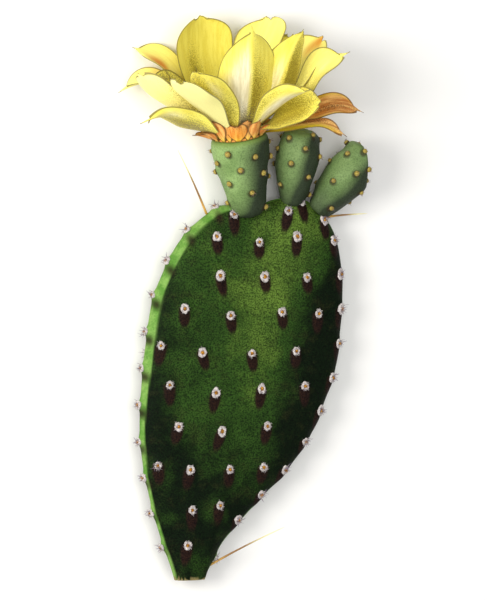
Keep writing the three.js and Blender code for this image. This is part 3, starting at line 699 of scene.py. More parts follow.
# ---- the pad's skin
SKIN_COLUMNS = 520
SKIN_RINGS = 58  # on each face
SECTION_HALF_WIDTH = 46  # of the cross-section that spaces the rings
AREOLE_RISE = 0.9  # height of an areole's bump
AREOLE_REACH = 2.3
PATCH_LENGTHS = (8.4, 10.2)  # the dark patch that runs down from a face areole, pigment and painted shadow of its bump
PATCH_HALF_WIDTH = 2.35
RIM_PATCH_DROP = 3.2  # how far below a rim areole its dark spot, a painted shadow, lies
RIM_PATCH_SIZE = (2.0, 3.0)


def pad_surface():
    """The smooth skin in rings from the front's middle round to the back's: its points, their outward
    directions and how far each is inside the rim."""
    angle = (np.arange(SKIN_COLUMNS) + 0.5) / SKIN_COLUMNS * 2 * np.pi - np.pi
    share = np.sin(np.linspace(0, np.pi / 2, 600))
    section = np.column_stack([share * SECTION_HALF_WIDTH, half_thickness(0.0, share), share])
    shares = evenly(section, SKIN_RINGS + 1)[1:, 2]
    shares[-1] = 1
    share = np.concatenate([shares, shares[-2::-1]])[:, None]
    side = np.concatenate([np.ones(SKIN_RINGS), -np.ones(SKIN_RINGS - 1)])[:, None]
    rim = rim_radius(angle)[None]
    x, y = np.cos(angle) * (rim * share), np.sin(angle) * (rim * share)
    points = np.stack([x, y, PAD_MID_HEIGHT + side * half_thickness(y, share)], -1)
    normal = unit(np.cross(np.gradient(points, axis=1), np.gradient(points, axis=0)))
    outward = np.stack([x, y, side * 60 + 0 * x], -1)
    normal *= np.sign(np.sum(normal * outward, -1, keepdims=True))
    return points, normal, (1 - share) * rim


def areole_marks(points, normal):
    """How far bumps and waves raise the skin, and how strong the dark patches below the areoles are: pigment
    and painted shadow on the faces, painted shadow at the rim.
    """
    random = np.random.default_rng(5)
    x, y = points[..., 0], points[..., 1]
    rise = 0.16 * np.sin(x / 9 + 1.3) * np.cos(y / 11) + 0.1 * np.sin(x / 4.1 + y / 5.3)
    patch = np.zeros_like(x)
    for at, side, basis in AREOLES:
        local = (points - at) @ basis.T
        facing = smooth(normal @ basis[2], 0.2, 0.6)
        across, up = local[..., 0], local[..., 1]
        drawn = np.where(up < 0, up / (BUMP_TAIL if side else 1), up)
        rise += AREOLE_RISE * np.exp(-(across**2 + drawn**2) / AREOLE_REACH**2) * facing
        if side:
            down = -up
            bent = across + down * random.normal(0, 0.12)
            length = random.uniform(*PATCH_LENGTHS)
            width = PATCH_HALF_WIDTH * (1 - 0.55 * smooth(down, 3, length))
            mark = 1 - smooth(np.abs(bent) / width, 0.5, 1.45)
            mark = mark * smooth(down, -1.4, 0.4) * (1 - smooth(down, length - 4.5, length + 0.5))
            patch = np.maximum(patch, mark * facing)
        else:
            # a painted shadow spot below the rim areole
            foot = np.stack([x - at[0], y - at[1] + RIM_PATCH_DROP], -1)
            patch = np.maximum(patch, 0.75 * np.exp(-np.sum((foot / RIM_PATCH_SIZE) ** 2, -1)))
    return rise, patch


def painted_skin_light(x, y):
    """The painted light and shade on the green: lightest on a band that leans right, lighter at the top,
    darkest on the right flank.
    """
    off = x - 9 - 0.33 * y
    light = 0.8 * hill(off, 0, np.where(off < 0, 28, 14)) * (0.2 + 0.8 * smooth(y, -65, 10))
    light += 0.22 * smooth(y, -10, 40) * smooth(x, 44, 30) * (1 - 0.6 * hill(off, 0, 18))
    return light + 0.16 * hill(x, -24, 12) * smooth(y, -40, 0) - 0.3 * smooth(x, 18, 34) * smooth(y, 30, 10)


def rim_and_lit_band_share(x, y, normal, inward):
    """Where the skin is the rim's light green: on the flank all round, and as a painted highlight on a narrow
    band along the left edge.
    """
    band = 0.9 + 1.4 * smooth(y, -60, 20)
    flank = smooth(np.abs(normal[..., 2]), 0.5, 0.34)
    return np.maximum(flank, smooth(inward, band + 0.25, band - 0.25) * smooth(x, 14, -4))


def pad_skin(material):
    smooth_points, normal, inward = pad_surface()
    rise, patch = areole_marks(smooth_points, normal)
    points = smooth_points + normal * rise[..., None]
    cut = smooth(-points[..., 1], -FOOT_CUT_Y - 0.05, -FOOT_CUT_Y + 0.05)
    points[..., 1] = np.maximum(points[..., 1], FOOT_CUT_Y)
    points[..., 2] = np.maximum(points[..., 2], 0)
    x, y = smooth_points[..., 0], smooth_points[..., 1]
    rim = rim_and_lit_band_share(x, y, normal, inward)
    values = dict(light=painted_skin_light(x, y), rim=rim * (1 - cut), patch=patch * (1 - cut), cut=cut)
    shape = Shape()
    skin, faces = closed_rings(points, (0, 0, PAD_MID_HEIGHT + PAD_HALF_THICK), (0, 0, 0))
    shape.add(skin, faces, **{name: with_ends(value) for name, value in values.items()})
    shape.piece("pad_skin", material, "pad_skin", "pad")


# ---- the pad's wool and spines
WOOL_SECTIONS = 18
WOOL_SIDES = 8
WOOL_RADIUS = 1.3  # of the ring's middle line
WOOL_HALF_THICK = 0.66
WOOL_HAIRS = 30
HEART_PROFILE = [(0, -0.4), (0.8, 0), (0.72, 0.5), (0.4, 0.85), (0, 1.0)]
HEART_HEIGHT = 0.75
NEAR_RIM_SHARE = 0.9  # further out than this the grey bristles are long and many


def areole_wool(materials):
    """White woolly rings, their golden hearts and their bristles, on the pad."""
    wool, heart, hair = Shape(), Shape(), Shape()
    random = np.random.default_rng(11)
    turn, around = circle(WOOL_SECTIONS), circle(WOOL_SIDES)
    for at, side, basis in AREOLES:
        size = random.uniform(0.7, 0.9)
        long = random.uniform(1.05, 1.35)
        lump = 1 + 0.2 * np.sin(3 * turn + random.uniform(0, 6)) + random.normal(0, 0.12, WOOL_SECTIONS)
        ring = WOOL_RADIUS * size * (1 + 0.08 * random.normal(size=WOOL_SECTIONS))
        thick = WOOL_HALF_THICK * size * lump
        out = ring[:, None] + np.outer(thick, np.cos(around))
        high = AREOLE_RISE - 0.1 + np.outer(thick, np.sin(around)) * 1.05
        points = np.stack([out * np.cos(turn)[:, None], out * np.sin(turn)[:, None] * long, high], -1)
        wool.add(above_floor(points @ basis + at), hoop_faces(WOOL_SECTIONS, WOOL_SIDES))
        for _ in range(WOOL_HAIRS):
            a = random.uniform(0, 2 * np.pi)
            out = np.array([np.cos(a), np.sin(a) * long, 0])
            root = out * 1.35 * size + (0, 0, AREOLE_RISE + 0.2)
            way = out * random.uniform(0.3, 1.2) + random.normal(0, 0.5, 3) + (0, 0, 0.8)
            bristle(wool, root @ basis + at, way @ basis, random.uniform(0.7, 1.2), 0.13, random, 0.6, 3)
        cap, faces = lathe(HEART_PROFILE, 8, (0, 0, HEART_HEIGHT))
        heart.add(above_floor(cap * (size, size * long, 1) @ basis + at), faces)
        tuft(heart, 9, 0.45, 0.5, 1.3, (0.6, 1.0), at, basis, random, bend=0.3, sides=3)
        near_rim = side == 0 or outline_share(at[0], at[1]) > NEAR_RIM_SHARE
        count, lengths = (11, (1.6, 2.7)) if near_rim else (3, (1.0, 1.6))
        tuft(hair, count, 0.75, 1.3, 1.0, lengths, at, basis, random)
    wool.piece("areole_wool", materials["wool"], "pad_skin", "pad")
    heart.piece("areole_hearts", materials["heart"], "pad_skin", "pad")
    hair.piece("areole_bristles", materials["hair"], "pad_skin", "pad")


def spines(material, steps=14, sides=10):
    shape = Shape()
    random = np.random.default_rng(3)
    for x, y, length, way in SPINES:
        way = unit(way)
        side = unit(np.cross(way, Z))
        t = np.linspace(0, 1, steps)
        bow = np.sin(np.pi * t) * length * 0.012 * random.choice([-1, 1])
        path = np.array([x, y, PAD_MID_HEIGHT]) + np.outer(t * length, way) + np.outer(bow, side)
        points, faces = tube(path, 0.44 * (1 - t) ** 0.8 + 0.06, sides)
        shape.add(points, faces, along=shares_along(t, sides))
    shape.piece("spines", material, "pad_skin", "pad")


# ---- the green ovary and the buds
BODY_SIDES = 110
BODY_RINGS = 76
STUD_RISE = 0.55
STUD_REACH = 1.9
STUD_PROFILE = [(0, -0.3), (1.0, -0.1), (1.08, 0.3), (0.85, 0.85), (0.45, 1.15), (0, 1.25)]
STUD_HEIGHT = 0.35
SHADED_SIDE = (0.92, -0.38, 0)  # the way that the darkened side of a body faces
BUD_SCALE = 0.95  # of a bud's studs
BUD_DUSK = 0.25  # how much darker a bud is than the ovary


def stem_frame(foot, axis, roll):
    """Origin and rows X, Y, Z of something that grows from the pad along its own Y."""
    axis = unit(axis)
    right = unit(np.cross(axis, Z))
    up = np.cross(right, axis)
    turn = np.radians(roll)
    x = right * np.cos(turn) + up * np.sin(turn)
    return np.array(foot, float), np.array([x, axis, np.cross(x, axis)])


def behind_slant(points, slant, softness=0.9):
    """Points beyond a bud's flat slanting top are pressed back onto it, with a soft corner."""
    if not slant:
        return points
    tilt, reach = np.radians(slant[0]), slant[1]
    way = np.array([np.sin(tilt), np.cos(tilt), 0])
    beyond = points @ way - reach
    return points + (0.5 * (beyond - np.hypot(beyond, softness)) - beyond)[..., None] * way


def stud_places(curve, count, start, slant):
    """The places and frames of a body's areoles, in a golden spiral up its side."""
    along = lengths_along(curve)
    places = []
    for i in range(count):
        at = min(1, 0.1 + 0.82 * np.sqrt((i + 0.5) / count)) * along[-1]
        on, ahead = (np.array([np.interp(a, along, curve[:, k]) for k in (0, 1)]) for a in (at, at + 0.2))
        tangent = unit(ahead - on) if at + 0.2 < along[-1] else np.array([-1.0, 0.0])
        c, s = np.cos(start + i * GOLDEN_TURN), np.sin(start + i * GOLDEN_TURN)
        outward = np.array([tangent[1] * c, -tangent[0], tangent[1] * s])
        point = behind_slant(np.array([on[0] * c, on[1], on[0] * s]), slant)
        places.append((point, basis_at(outward, Y)))
    return places


def studded(name, profile, count, scale, start, origin, basis, materials, dusk=0.0, slant=None):
    """A green body of revolution about its Y, with small bristly areoles on it."""
    curve = catmull_rom(profile, 8, False)
    curve[:, 0] = np.maximum(curve[:, 0], 0)
    places = stud_places(curve, count, start, slant)
    fine = evenly(curve, BODY_RINGS)
    turn = circle(BODY_SIDES)
    radius, height = fine[1:, :1], np.repeat(fine[1:, 1:], BODY_SIDES, 1)
    points = np.stack([radius * np.cos(turn), height, radius * np.sin(turn)], -1)
    slope = unit(np.gradient(fine, axis=0))[1:, None]
    level = -slope[..., 0] * np.ones(BODY_SIDES)
    normal = np.stack([slope[..., 1] * np.cos(turn), level, slope[..., 1] * np.sin(turn)], -1)
    rise = 0.12 * np.sin(5 * turn[None] + height / 4) * smooth(radius, 1, 5)
    stud = np.zeros(points.shape[:2])
    for at, stud_basis in places:
        away = np.linalg.norm(points - at, axis=-1)
        rise = rise + STUD_RISE * hill(away, 0, STUD_REACH * scale)
        # the stud value is a painted shadow: a dark ring round each stud, shifted a little below it
        below = np.linalg.norm(points - at + stud_basis[1] * 0.5, axis=-1)
        stud = np.maximum(stud, 1 - smooth(below, 1.1 * scale, 2.1 * scale))
    points = behind_slant(points + normal * rise[..., None], slant)
    end = behind_slant(np.array([0, fine[-1][1], 0]), slant)
    body, faces = closed_rings(points, (0, 0, 0), end)
    top = smooth(height, profile[-1][1] - 2.5, profile[-1][1] + 0.5)
    facing = normal @ basis @ SHADED_SIDE
    shade = np.clip(smooth(facing, -0.45, 0.6) + 0.55 * smooth(height, 14, 0) + dusk, 0, 0.94)
    values = dict(stud=with_ends(stud * 0.8), top=with_ends(top), shade=with_ends(shade))
    skin, beads, hair = Shape(), Shape(), Shape()
    skin.add(body @ basis + origin, faces, **values)
    random = np.random.default_rng(count)
    for at, stud_basis in places:
        size = scale * random.uniform(0.85, 1.15)
        points, faces = lathe(np.array(STUD_PROFILE) * size, 10, (0, 0, STUD_HEIGHT))
        share = np.clip((points[:, 2] / size - 0.05) / 1.5, 0, 1)
        at, stud_basis = at @ basis + origin, stud_basis @ basis
        beads.add(points @ stud_basis + at, faces, along=share)
        tuft(hair, 9, 0.8, 0.6, 0.9, (0.8 * size, 1.7 * size), at, stud_basis, random, radius=0.1)
    skin.piece(name + "_skin", materials["young"], "young_skin", name)
    beads.piece(name + "_areoles", materials["stud"], "young_skin", name)
    hair.piece(name + "_bristles", materials["gold_hair"], "young_skin", name)


def bud_profile(radius, long, blunt):
    """A bud's radii and heights, from its narrow foot to its blunt top."""
    return [
        (0, 0), (radius * 0.42, 0.2), (radius * 0.62, long * 0.12), (radius * 0.86, long * 0.36),
        (radius, long * 0.62), (radius * 0.9, long * 0.82), (radius * blunt, long * 0.95),
        (radius * blunt * 0.45, long),
    ]


# ---- petals
BLOOM_FOOT, BLOOM_BASIS = stem_frame(FLOWER_FOOT, FLOWER_AXIS, FLOWER_ROLL)
BLOOM_ORIGIN = BLOOM_FOOT + BLOOM_BASIS[1] * (OVARY_LENGTH + OVARY_GAP)
CURVE_STEPS = 20
PETAL_LAYERS = dict(petals_inner=slice(0, 7), petals_middle=slice(7, 13), petals_outer=slice(13, None))
PETAL_BOWL = [
    (0, 0), (8.4, 0), (8.8, 0.8), (8.9, 1.6), (8.8, 3.2), (7.6, 3.0), (6.6, 2.6), (5.6, 2.0), (0, 2.0),
]
RIM_SECTION = [(9.4, 0.05), (10.0, 0.05), (10.1, 0.4), (9.9, 0.9), (9.5, 0.9)]
RIM_STEPS = 72
CRINKLED_LENGTH = 15  # petals shorter than this have no fine crinkles

# How each petal is coloured, by its degrees round the flower: olive spots are painted shade, grey ones
# painted shadow and cream ones a painted highlight. Each spot is (strength, middle along, reach along, middle
# across, reach across) and may end sharply at the fold: 1 keeps it to the positive side of the petal's middle
# line, -1 to the negative one. pale is one strength.
PETAL_LOOKS = {
    225: dict(
        olive=[(0.5, 0.66, 0.16, -0.35, 0.2), (0.55, 0.46, 0.16, -0.3, 0.4), (0.75, 0.18, 0.2, 0, 1.3)],
    ),
    292: dict(olive=[(0.45, 0.3, 0.22, 0, 1)], pale=0.25),
    67: dict(
        olive=[(0.95, 0.36, 0.4, -0.1, 0.5, -1), (0.4, 0.2, 0.3, 0.8, 0.3)],
        cream=[(1, 0.55, 0.33, 0.1, 0.42, 1), (0.5, 0.4, 0.35, 0.5, 0.6, 1)],
        grey=[(0.9, 0.1, 0.22, 0.15, 0.8)],
    ),
    24: dict(
        olive=[(1.2, 0.5, 0.42, -0.3, 0.8, -1), (0.9, 0.1, 0.2, 0, 1.2), (0.45, 0.4, 0.25, 0.5, 0.6, 1)],
        cream=[(0.6, 0.55, 0.26, 0.3, 0.35, 1)],
    ),
    268: dict(olive=[(0.6, 0.3, 0.4, 0, 1)]),
    163: dict(olive=[(0.85, 0.6, 0.6, 0, 1.2)], grey=[(0.6, 0.8, 0.4, 0, 1.2)]),
    106: dict(
        olive=[(0.75, 0.3, 0.3, 0, 1.2), (0.45, 0.85, 0.3, 0.2, 0.7)],
        grey=[(0.55, 0.75, 0.28, 0.7, 0.35), (0.35, 0.95, 0.12, 0, 0.8)],
        cream=[(0.45, 0.7, 0.2, -0.35, 0.35)],
    ),
    345: dict(
        orange=[(0.8, 0.97, 0.09, 0.1, 0.4), (0.55, 0.84, 0.1, -0.15, 0.22)],
        cream=[(0.4, 0.7, 0.2, -0.6, 0.4)], olive=[(0.4, 0.6, 0.25, 0.5, 0.4)], pale=0.3,
    ),
    186: dict(
        orange=[(1, 0.78, 0.12, -0.45, 0.42)], olive=[(0.5, 0.55, 0.35, -0.9, 0.35), (0.3, 0.2, 0.3, 0, 1)],
        cream=[(0.3, 0.6, 0.2, 0.2, 0.4)], pale=0.3,
    ),
    4: dict(
        olive=[(0.75, 0.42, 0.25, 0.1, 1), (0.4, 0.97, 0.08, -0.9, 0.5)],
        grey=[(0.6, 0.72, 0.22, 0.95, 0.25)], cream=[(0.4, 0.8, 0.1, 0.1, 0.4)], pale=0.25,
    ),
    325: dict(olive=[(0.55, 0.5, 0.5, 0, 1.3)]),
    54: dict(
        olive=[(0.6, 0.42, 0.45, 0.75, 0.3), (0.6, 0.2, 0.25, -0.8, 0.5)],
        cream=[(1, 0.5, 0.5, -0.15, 0.55)], grey=[(0.4, 0.2, 0.3, -0.2, 0.5)],
    ),
    117: dict(pale=0.9, olive=[(0.3, 0.1, 0.2, 0, 1)]),
    146: dict(
        olive=[(0.7, 0.3, 0.3, -0.2, 1), (0.45, 0.6, 0.3, -0.9, 0.35)],
        grey=[(0.6, 0.3, 0.25, -0.5, 0.7)], pale=0.8,
    ),
    240: dict(olive=[(0.65, 0.3, 0.5, 0, 1.3)]),
    174: dict(pale=0.4, cream=[(0.4, 0.75, 0.15, 0.2, 0.6)], olive=[(0.5, 0.3, 0.3, 0, 1)]),
    33: dict(
        olive=[(1.3, 0.35, 0.4, -0.2, 1.1), (0.5, 0.8, 0.2, 0.2, 0.8)], grey=[(0.7, 0.97, 0.12, -0.9, 0.5)],
    ),
    205: dict(olive=[(0.65, 0.4, 0.5, 0, 1.3)]),
    336: dict(olive=[(0.65, 0.4, 0.5, 0, 1.3)]),
    138: dict(
        olive=[(0.85, 0.35, 0.35, 0.3, 0.9), (0.4, 0.7, 0.25, 0.2, 0.5)], grey=[(0.55, 0.35, 0.3, 0.1, 0.9)],
        cream=[(0.5, 0.75, 0.2, -0.3, 0.5)], rust=[(0.7, 0.93, 0.08, 0.5, 0.5)],
    ),
}
TEPAL_LOOKS = {
    355: dict(
        dark=[(0.5, 0.35, 0.25, 0.1, 0.5), (0.5, 0.75, 0.15, 0.2, 0.3), (0.4, 0.98, 0.06, 0, 1)],
        gold=[(0.7, 0.5, 0.25, 0.5, 0.3)], yellow=[(0.5, 0.5, 0.4, -0.9, 0.15), (0.5, 0.6, 0.4, 1, 0.12)],
    ),
    14: dict(
        dark=[(0.7, 0.5, 0.35, -0.7, 0.35), (0.4, 0.97, 0.08, 0, 1)],
        yellow=[(1.6, 0.45, 0.35, 0.7, 0.65), (0.6, 0.15, 0.2, 0, 1)],
    ),
}
SCALE_LOOKS = dict(yellow=[(0.5, 0, 0.2, 0, 1.5)], dark=[(0.45, 1, 0.2, 0, 1)])


def in_bloom(points):
    """Points in the flower's own frame, its Y being its axis, moved to their place on the pad."""
    return points @ BLOOM_BASIS + BLOOM_ORIGIN


def add_turned(shape, profile, sides, **values):
    """A form turned about the flower's axis."""
    points, faces = lathe(profile, sides)
    shape.add(in_bloom(points[:, [0, 2, 1]]), faces, **values)


def petals_of(rows, rise):
    return [dict(zip(PETAL_COLUMNS, row), rise=rise) for row in rows]


def width_share(u, petal):
    """The width along a petal as a share of its full width. A blunt end is round, and a long tip tapers."""
    peak = petal["peak"]
    rise = PETAL_BASE_SHARE + (1 - PETAL_BASE_SHARE) * smooth(u, -0.06, peak)
    past = np.maximum(0, (u - peak) / (1 - peak))
    return rise * np.maximum(0.05, 1 - past**2.4) ** (0.42 + 0.12 * petal["tip"])


def petal_surface(petal, u, v):
    """The petal's middle surface over rows u (root to tip) and columns v (-1 to 1), on the pad, with how
    far each point is across and along the petal and from its side edge."""
    around, phase, long = np.radians(petal["at"]), petal["at"] * 0.7, petal["long"]

    def lean_at(t):
        curl = petal["curl"] * 1.6 * smooth(t, 0.62, 1)
        return np.radians(petal["lean"] + petal["bend"] * (t - 0.5) + curl)

    t = u[:, None] * (np.arange(CURVE_STEPS) + 0.5) / CURVE_STEPS
    radius = (petal["root"] + np.sin(lean_at(t)).sum(1) * long * u / CURVE_STEPS)[:, None, None]
    height = (petal["rise"] + np.cos(lean_at(t)).sum(1) * long * u / CURVE_STEPS)[:, None, None]
    half = (petal["wide"] / 2 * width_share(u, petal))[:, None]
    outward = np.array([np.cos(around), 0, np.sin(around)])
    level = np.array([-np.sin(around), 0, np.cos(around)])
    lean = lean_at(u)[:, None]
    tangent = outward * np.sin(lean) + Y * np.cos(lean)
    twist = np.radians(petal["twist"] * smooth(u, 0, 0.5))[:, None]
    side = level * np.cos(twist) + np.cross(tangent, level) * np.sin(twist)
    normal = np.cross(side, tangent)
    u, v = u[:, None], v[None]
    edge = np.abs(v)
    point = petal["tip"] * (1 - edge) ** 3 * smooth(u, 0.8, 1)
    ripple = petal["wave"] * 0.7 * np.sin(5 * v + phase) * smooth(u, 0.55, 1)
    inward = half * (petal["cup"] * v**2 * 2 + petal["keel"] * edge) * smooth(u, 0.08, 0.6)
    inward = inward + petal["wave"] * np.sin(7 * u + phase + v) * v**2 * smooth(u, 0.3, 0.9)
    if long > CRINKLED_LENGTH:
        inward = inward + 0.22 * np.sin(17 * u + 4 * v + phase) * edge**3 * smooth(u, 0.3, 0.7)
        ripple = ripple + 0.18 * np.sin(13 * v + 2 * phase) * smooth(u, 0.8, 1)
    across = v * half
    surface = outward * radius + Y * height + level * (petal["sway"] * u[..., None] ** 2)
    surface = surface + side[:, None] * across[..., None] + normal[:, None] * inward[..., None]
    surface = surface + tangent[:, None] * (point + ripple)[..., None]
    world = above_floor(in_bloom(surface), FLOOR_SOFTNESS, PETAL_FLOOR)
    return world, across, u * long + 0 * across, (1 - edge) * half


def spots(marks, u, v):
    """Soft coloured spots on a petal, added up."""
    total = np.zeros((len(u), len(v)))
    for strength, u0, ru, v0, rv, *side in marks:
        across = hill(v, v0, rv) * (smooth(v * side[0], -0.03, 0.05) if side else 1)
        total += strength * hill(u, u0, ru)[:, None] * across[None]
    return np.clip(total, 0, 1)


def add_petal(shape, petal, looks, rows=38, columns=25, thick=0.55):
    """One thin closed petal, thinner towards its edge."""
    u = np.sin(np.linspace(0, np.pi / 2, rows))
    v = np.sin(np.linspace(-np.pi / 2, np.pi / 2, columns))
    world, across, along, to_side = petal_surface(petal, u, v)
    normal = unit(np.cross(np.gradient(world, axis=0), np.gradient(world, axis=1)))
    to_edge = np.minimum(to_side, (1 - u)[:, None] * petal["long"] + 0.02)
    half = thick / 2 * (0.45 + 0.55 * smooth(to_edge, 0, 2.5))
    points = np.concatenate([(world + normal * (side * half)[..., None]).reshape(-1, 3) for side in (1, -1)])
    flat = grid_faces(rows, columns, False)
    count = rows * columns
    faces = [tuple(face) for face in flat] + [tuple(int(i) + count for i in face[::-1]) for face in flat]
    grid = np.arange(count).reshape(rows, columns)
    loop = np.concatenate([grid[0], grid[1:, -1], grid[-1, -2::-1], grid[-2:0:-1, 0]])
    for a, b in zip(loop, np.roll(loop, -1)):
        faces.append((a, b, b + count, a + count))
    values = {name: spots(marks, u, v) for name, marks in looks.items() if name != "pale"}
    values.update(edge=1 - smooth(to_edge, 0.15, 0.5), across_mm=across, along_mm=along)
    values = {name: np.tile(value.ravel(), 2) for name, value in values.items()}
    shape.add(points, faces, pale=looks.get("pale", 0), petal_id=petal["at"] * 0.01, **values)


def petals(material):
    rows = petals_of(PETAL_TABLE, PETAL_RISE)
    for name, layer in PETAL_LAYERS.items():
        shape = Shape()
        for petal in rows[layer]:
            add_petal(shape, petal, PETAL_LOOKS[petal["at"]])
        if name == "petals_inner":
            # the bowl at the petals' foot is half in painted shade
            add_turned(shape, PETAL_BOWL, 48, olive=0.5)
        shape.piece(name, material, "petal", "petals")


def outer_tepals(material):
    """The two long rusty tepals, and the scales on a slightly uneven ring round the ovary's rim."""
    shape = Shape()
    for tepal in petals_of(LONG_TEPAL_TABLE, TEPAL_RISE):
        add_petal(shape, tepal, TEPAL_LOOKS[tepal["at"]])
    for at, lean, long, wide, tip in SCALE_TABLE:
        scale = dict(SCALE_SHAPE, at=at, lean=lean, long=long, wide=wide, tip=tip)
        ripe = 0.9 if 80 < at < 100 else 0.35
        looks = dict(SCALE_LOOKS, gold=[(ripe, 0.4, 0.8, 0, 1.5)])
        add_petal(shape, scale, looks, rows=16, columns=11, thick=0.6)
    random = np.random.default_rng(2)
    turn = circle(RIM_STEPS)
    rings = []
    for radius, height in RIM_SECTION:
        out = radius * (1 + 0.012 * random.normal(size=RIM_STEPS))
        rings.append(np.stack([out * np.cos(turn), height + 0 * turn, out * np.sin(turn)], -1))
    rim = np.array(rings).transpose(1, 0, 2).reshape(-1, 3)
    shape.add(in_bloom(rim), hoop_faces(RIM_STEPS, len(RIM_SECTION)), gold=0.5, dark=0.25)
    shape.piece("outer_tepals_fine", material, "outer_tepal", "outer_tepals")


# ---- the flower's inside
STAMEN_COUNT = 170
STAMEN_BED = [
    (0, 2.7), (STAMEN_BED_RADIUS, 2.65), (STAMEN_BED_RADIUS, 3.6), (3.6, 4.3), (STAMEN_BED_HOLE, 4.7),
    (STAMEN_BED_HOLE - 0.2, 3.5), (0, 3.4),
]
ANTHER_PROFILE = [(0, -0.7), (0.3, -0.55), (0.42, 0), (0.34, 0.5), (0, 0.75)]
STYLE_PROFILE = [
    (0, 2.6), (1.5, 2.6), (1.25, 4.5), (1.15, 6), (1.25, 10), (1.5, 14), (1.8, 17), (1.85, 18), (1.2, 18.7),
    (0, 18.8),
]
LOBE_PROFILE = [(0, 0), (0.45, 0.3), (0.72, 1.2), (0.8, 2.4), (0.7, 3.3), (0.4, 4.1), (0, 4.35)]


def stamens(material, steps=5, sides=4):
    shape = Shape()
    random = np.random.default_rng(31)
    add_turned(shape, STAMEN_BED, 36, along=0)
    for i in range(STAMEN_COUNT):
        share = np.sqrt((i + 0.5) / STAMEN_COUNT)
        turn = i * GOLDEN_TURN
        out = np.array([np.cos(turn), 0, np.sin(turn)])
        length = STAMEN_LENGTH * (1.1 - 0.32 * share + random.uniform(-0.06, 0.12))
        lean = np.radians(1 + 7 * share + random.uniform(-1, 2))
        way = out * np.sin(lean) + Y * np.cos(lean)
        radius = STAMEN_BED_HOLE + 0.3 + (STAMEN_BED_RADIUS - STAMEN_BED_HOLE - 0.7) * share
        root = out * radius + Y * (STAMEN_BED_HEIGHT + 0.5)
        t = np.linspace(0, 1, steps)
        bow = np.cross(way, random.normal(size=3)) * 0.5
        path = root + np.outer(t * length, way) + np.outer(np.sin(np.pi * t) * 0.8, bow)
        points, faces = tube(path, 0.2 - 0.06 * t, sides)
        shape.add(in_bloom(points), faces, along=shares_along(t, sides))
        tip = basis_at(way + random.normal(0, 0.35, 3), X)
        points, faces = lathe(ANTHER_PROFILE, 6, path[-1] + way * 0.3, tip)
        shape.add(in_bloom(points), faces, along=1, pollen=1)
    shape.piece("stamens_fine", material, "stamen", "stamens")


def style(material):
    shape = Shape()
    add_turned(shape, STYLE_PROFILE, 24)
    for i in range(STIGMA_LOBES):
        turn = -2 * np.pi * i / STIGMA_LOBES
        out = np.array([np.cos(turn), 0, -np.sin(turn)])
        way = unit(out * 0.3 + Y)
        points, faces = lathe(LOBE_PROFILE, 12, out * 1.25 + Y * STYLE_LENGTH, basis_at(way, out))
        shape.add(in_bloom(points), faces, lobe=1)
    shape.piece("style_fine", material, "style", "style")


# ---- the object
materials = dict(
    wool=wool_paint(),
    heart=heart_paint(),
    hair=bristle_paint("grey_bristle", srgb(160, 144, 140), srgb(112, 96, 128)),
    gold_hair=bristle_paint("gold_bristle", srgb(156, 124, 66), srgb(120, 98, 112)),
    young=young_skin_paint(),
    stud=stud_paint(),
)
pad_skin(pad_skin_paint())
areole_wool(materials)
spines(spine_paint())
studded("ovary", OVARY_PROFILE, OVARY_AREOLES, 1.0, 0.4, BLOOM_FOOT, BLOOM_BASIS, materials)
for bud in BUDS:
    profile = bud_profile(bud["radius"], bud["length"], bud["blunt"])
    origin, basis = stem_frame(bud["foot"], bud["axis"], 0)
    start = np.radians(bud["start"])
    studded(
        bud["name"], profile, bud["areoles"], BUD_SCALE, start, origin, basis, materials,
        BUD_DUSK, bud["slant"],
    )
petals(petal_paint())
outer_tepals(tepal_paint())
stamens(stamen_paint())
style(style_paint())

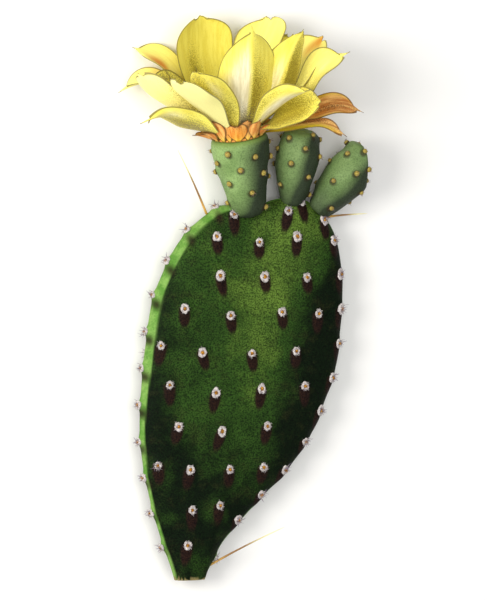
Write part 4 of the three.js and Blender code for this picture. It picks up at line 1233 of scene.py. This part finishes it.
# ---- floor, lights and camera
TO_CAMERA = unit((-0.342, 0.105, 0.934))
ACROSS = np.array([0.94, 0, 0.342])  # roughly to the picture's right
RIGHT = unit(ACROSS - TO_CAMERA * (TO_CAMERA @ ACROSS))
UP = np.cross(TO_CAMERA, RIGHT)
VIEW_MIDDLE = np.array([0, 0, 7.3]) + 2.75 * RIGHT + 18 * UP
VIEW_HEIGHT = 232  # how much of the object's plane the picture's height covers
LENS = 400
SENSOR = 36
FLOOR_REACH = 6.0  # metres
LIGHT_TARGET = np.array([0, 20, 10])
LIGHTS = [  # name, place, size, watts and colour
    ("key", (-700, 160, 520), 420, 7.6, (1.0, 0.98, 0.94)),
    ("fill", (400, -500, 900), 900, 2.0, (1, 1, 1)),
    ("top", (-100, 250, 1000), 800, 4.4, (1, 1, 1)),
]
SKY_STRENGTH = 0.42


def look_from(thing, place, target, up):
    """Put a lamp or camera at a place, facing the target."""
    back = unit(np.asarray(place) - target)
    right = unit(np.cross(up, back))
    rows = np.array([right, np.cross(back, right), back])
    thing.matrix_world = Matrix.Translation(np.asarray(place) * MM) @ Matrix(rows.T.tolist()).to_4x4()


def softbox(name, place, size, watts, colour):
    lamp = bpy.data.lights.new(name, "AREA")
    lamp.shape = "SQUARE"
    lamp.size = size * MM
    lamp.energy = watts
    lamp.color = colour
    thing = new_object(name, lamp)
    thing.visible_camera = False
    look_from(thing, place, LIGHT_TARGET, Y)


def floor():
    corners = [(x * FLOOR_REACH, y * FLOOR_REACH, 0) for x, y in ((-1, -1), (1, -1), (1, 1), (-1, 1))]
    mesh = bpy.data.meshes.new("floor")
    mesh.from_pydata(corners, [], [(0, 1, 2, 3)])
    paint = Paint("floor", roughness=0.9, specular=0.1)
    paper = paint.mix(paint.noise(60, 2), srgb(238, 237, 234), srgb(242, 241, 239))
    mesh.materials.append(paint.finish(paper))
    new_object("floor", mesh)


floor()
for light in LIGHTS:
    softbox(*light)
world = bpy.data.worlds.new("studio")
world.use_nodes = True
world.node_tree.nodes["Background"].inputs["Color"].default_value = (1, 1, 1, 1)
world.node_tree.nodes["Background"].inputs["Strength"].default_value = SKY_STRENGTH
bpy.context.scene.world = world
bpy.context.scene.view_settings.view_transform = "Standard"

camera = new_object("camera", bpy.data.cameras.new("camera"))
camera.data.lens = LENS
camera.data.sensor_width = SENSOR
look_from(camera, VIEW_MIDDLE + TO_CAMERA * VIEW_HEIGHT * LENS / SENSOR, VIEW_MIDDLE, UP)
bpy.context.scene.camera = camera
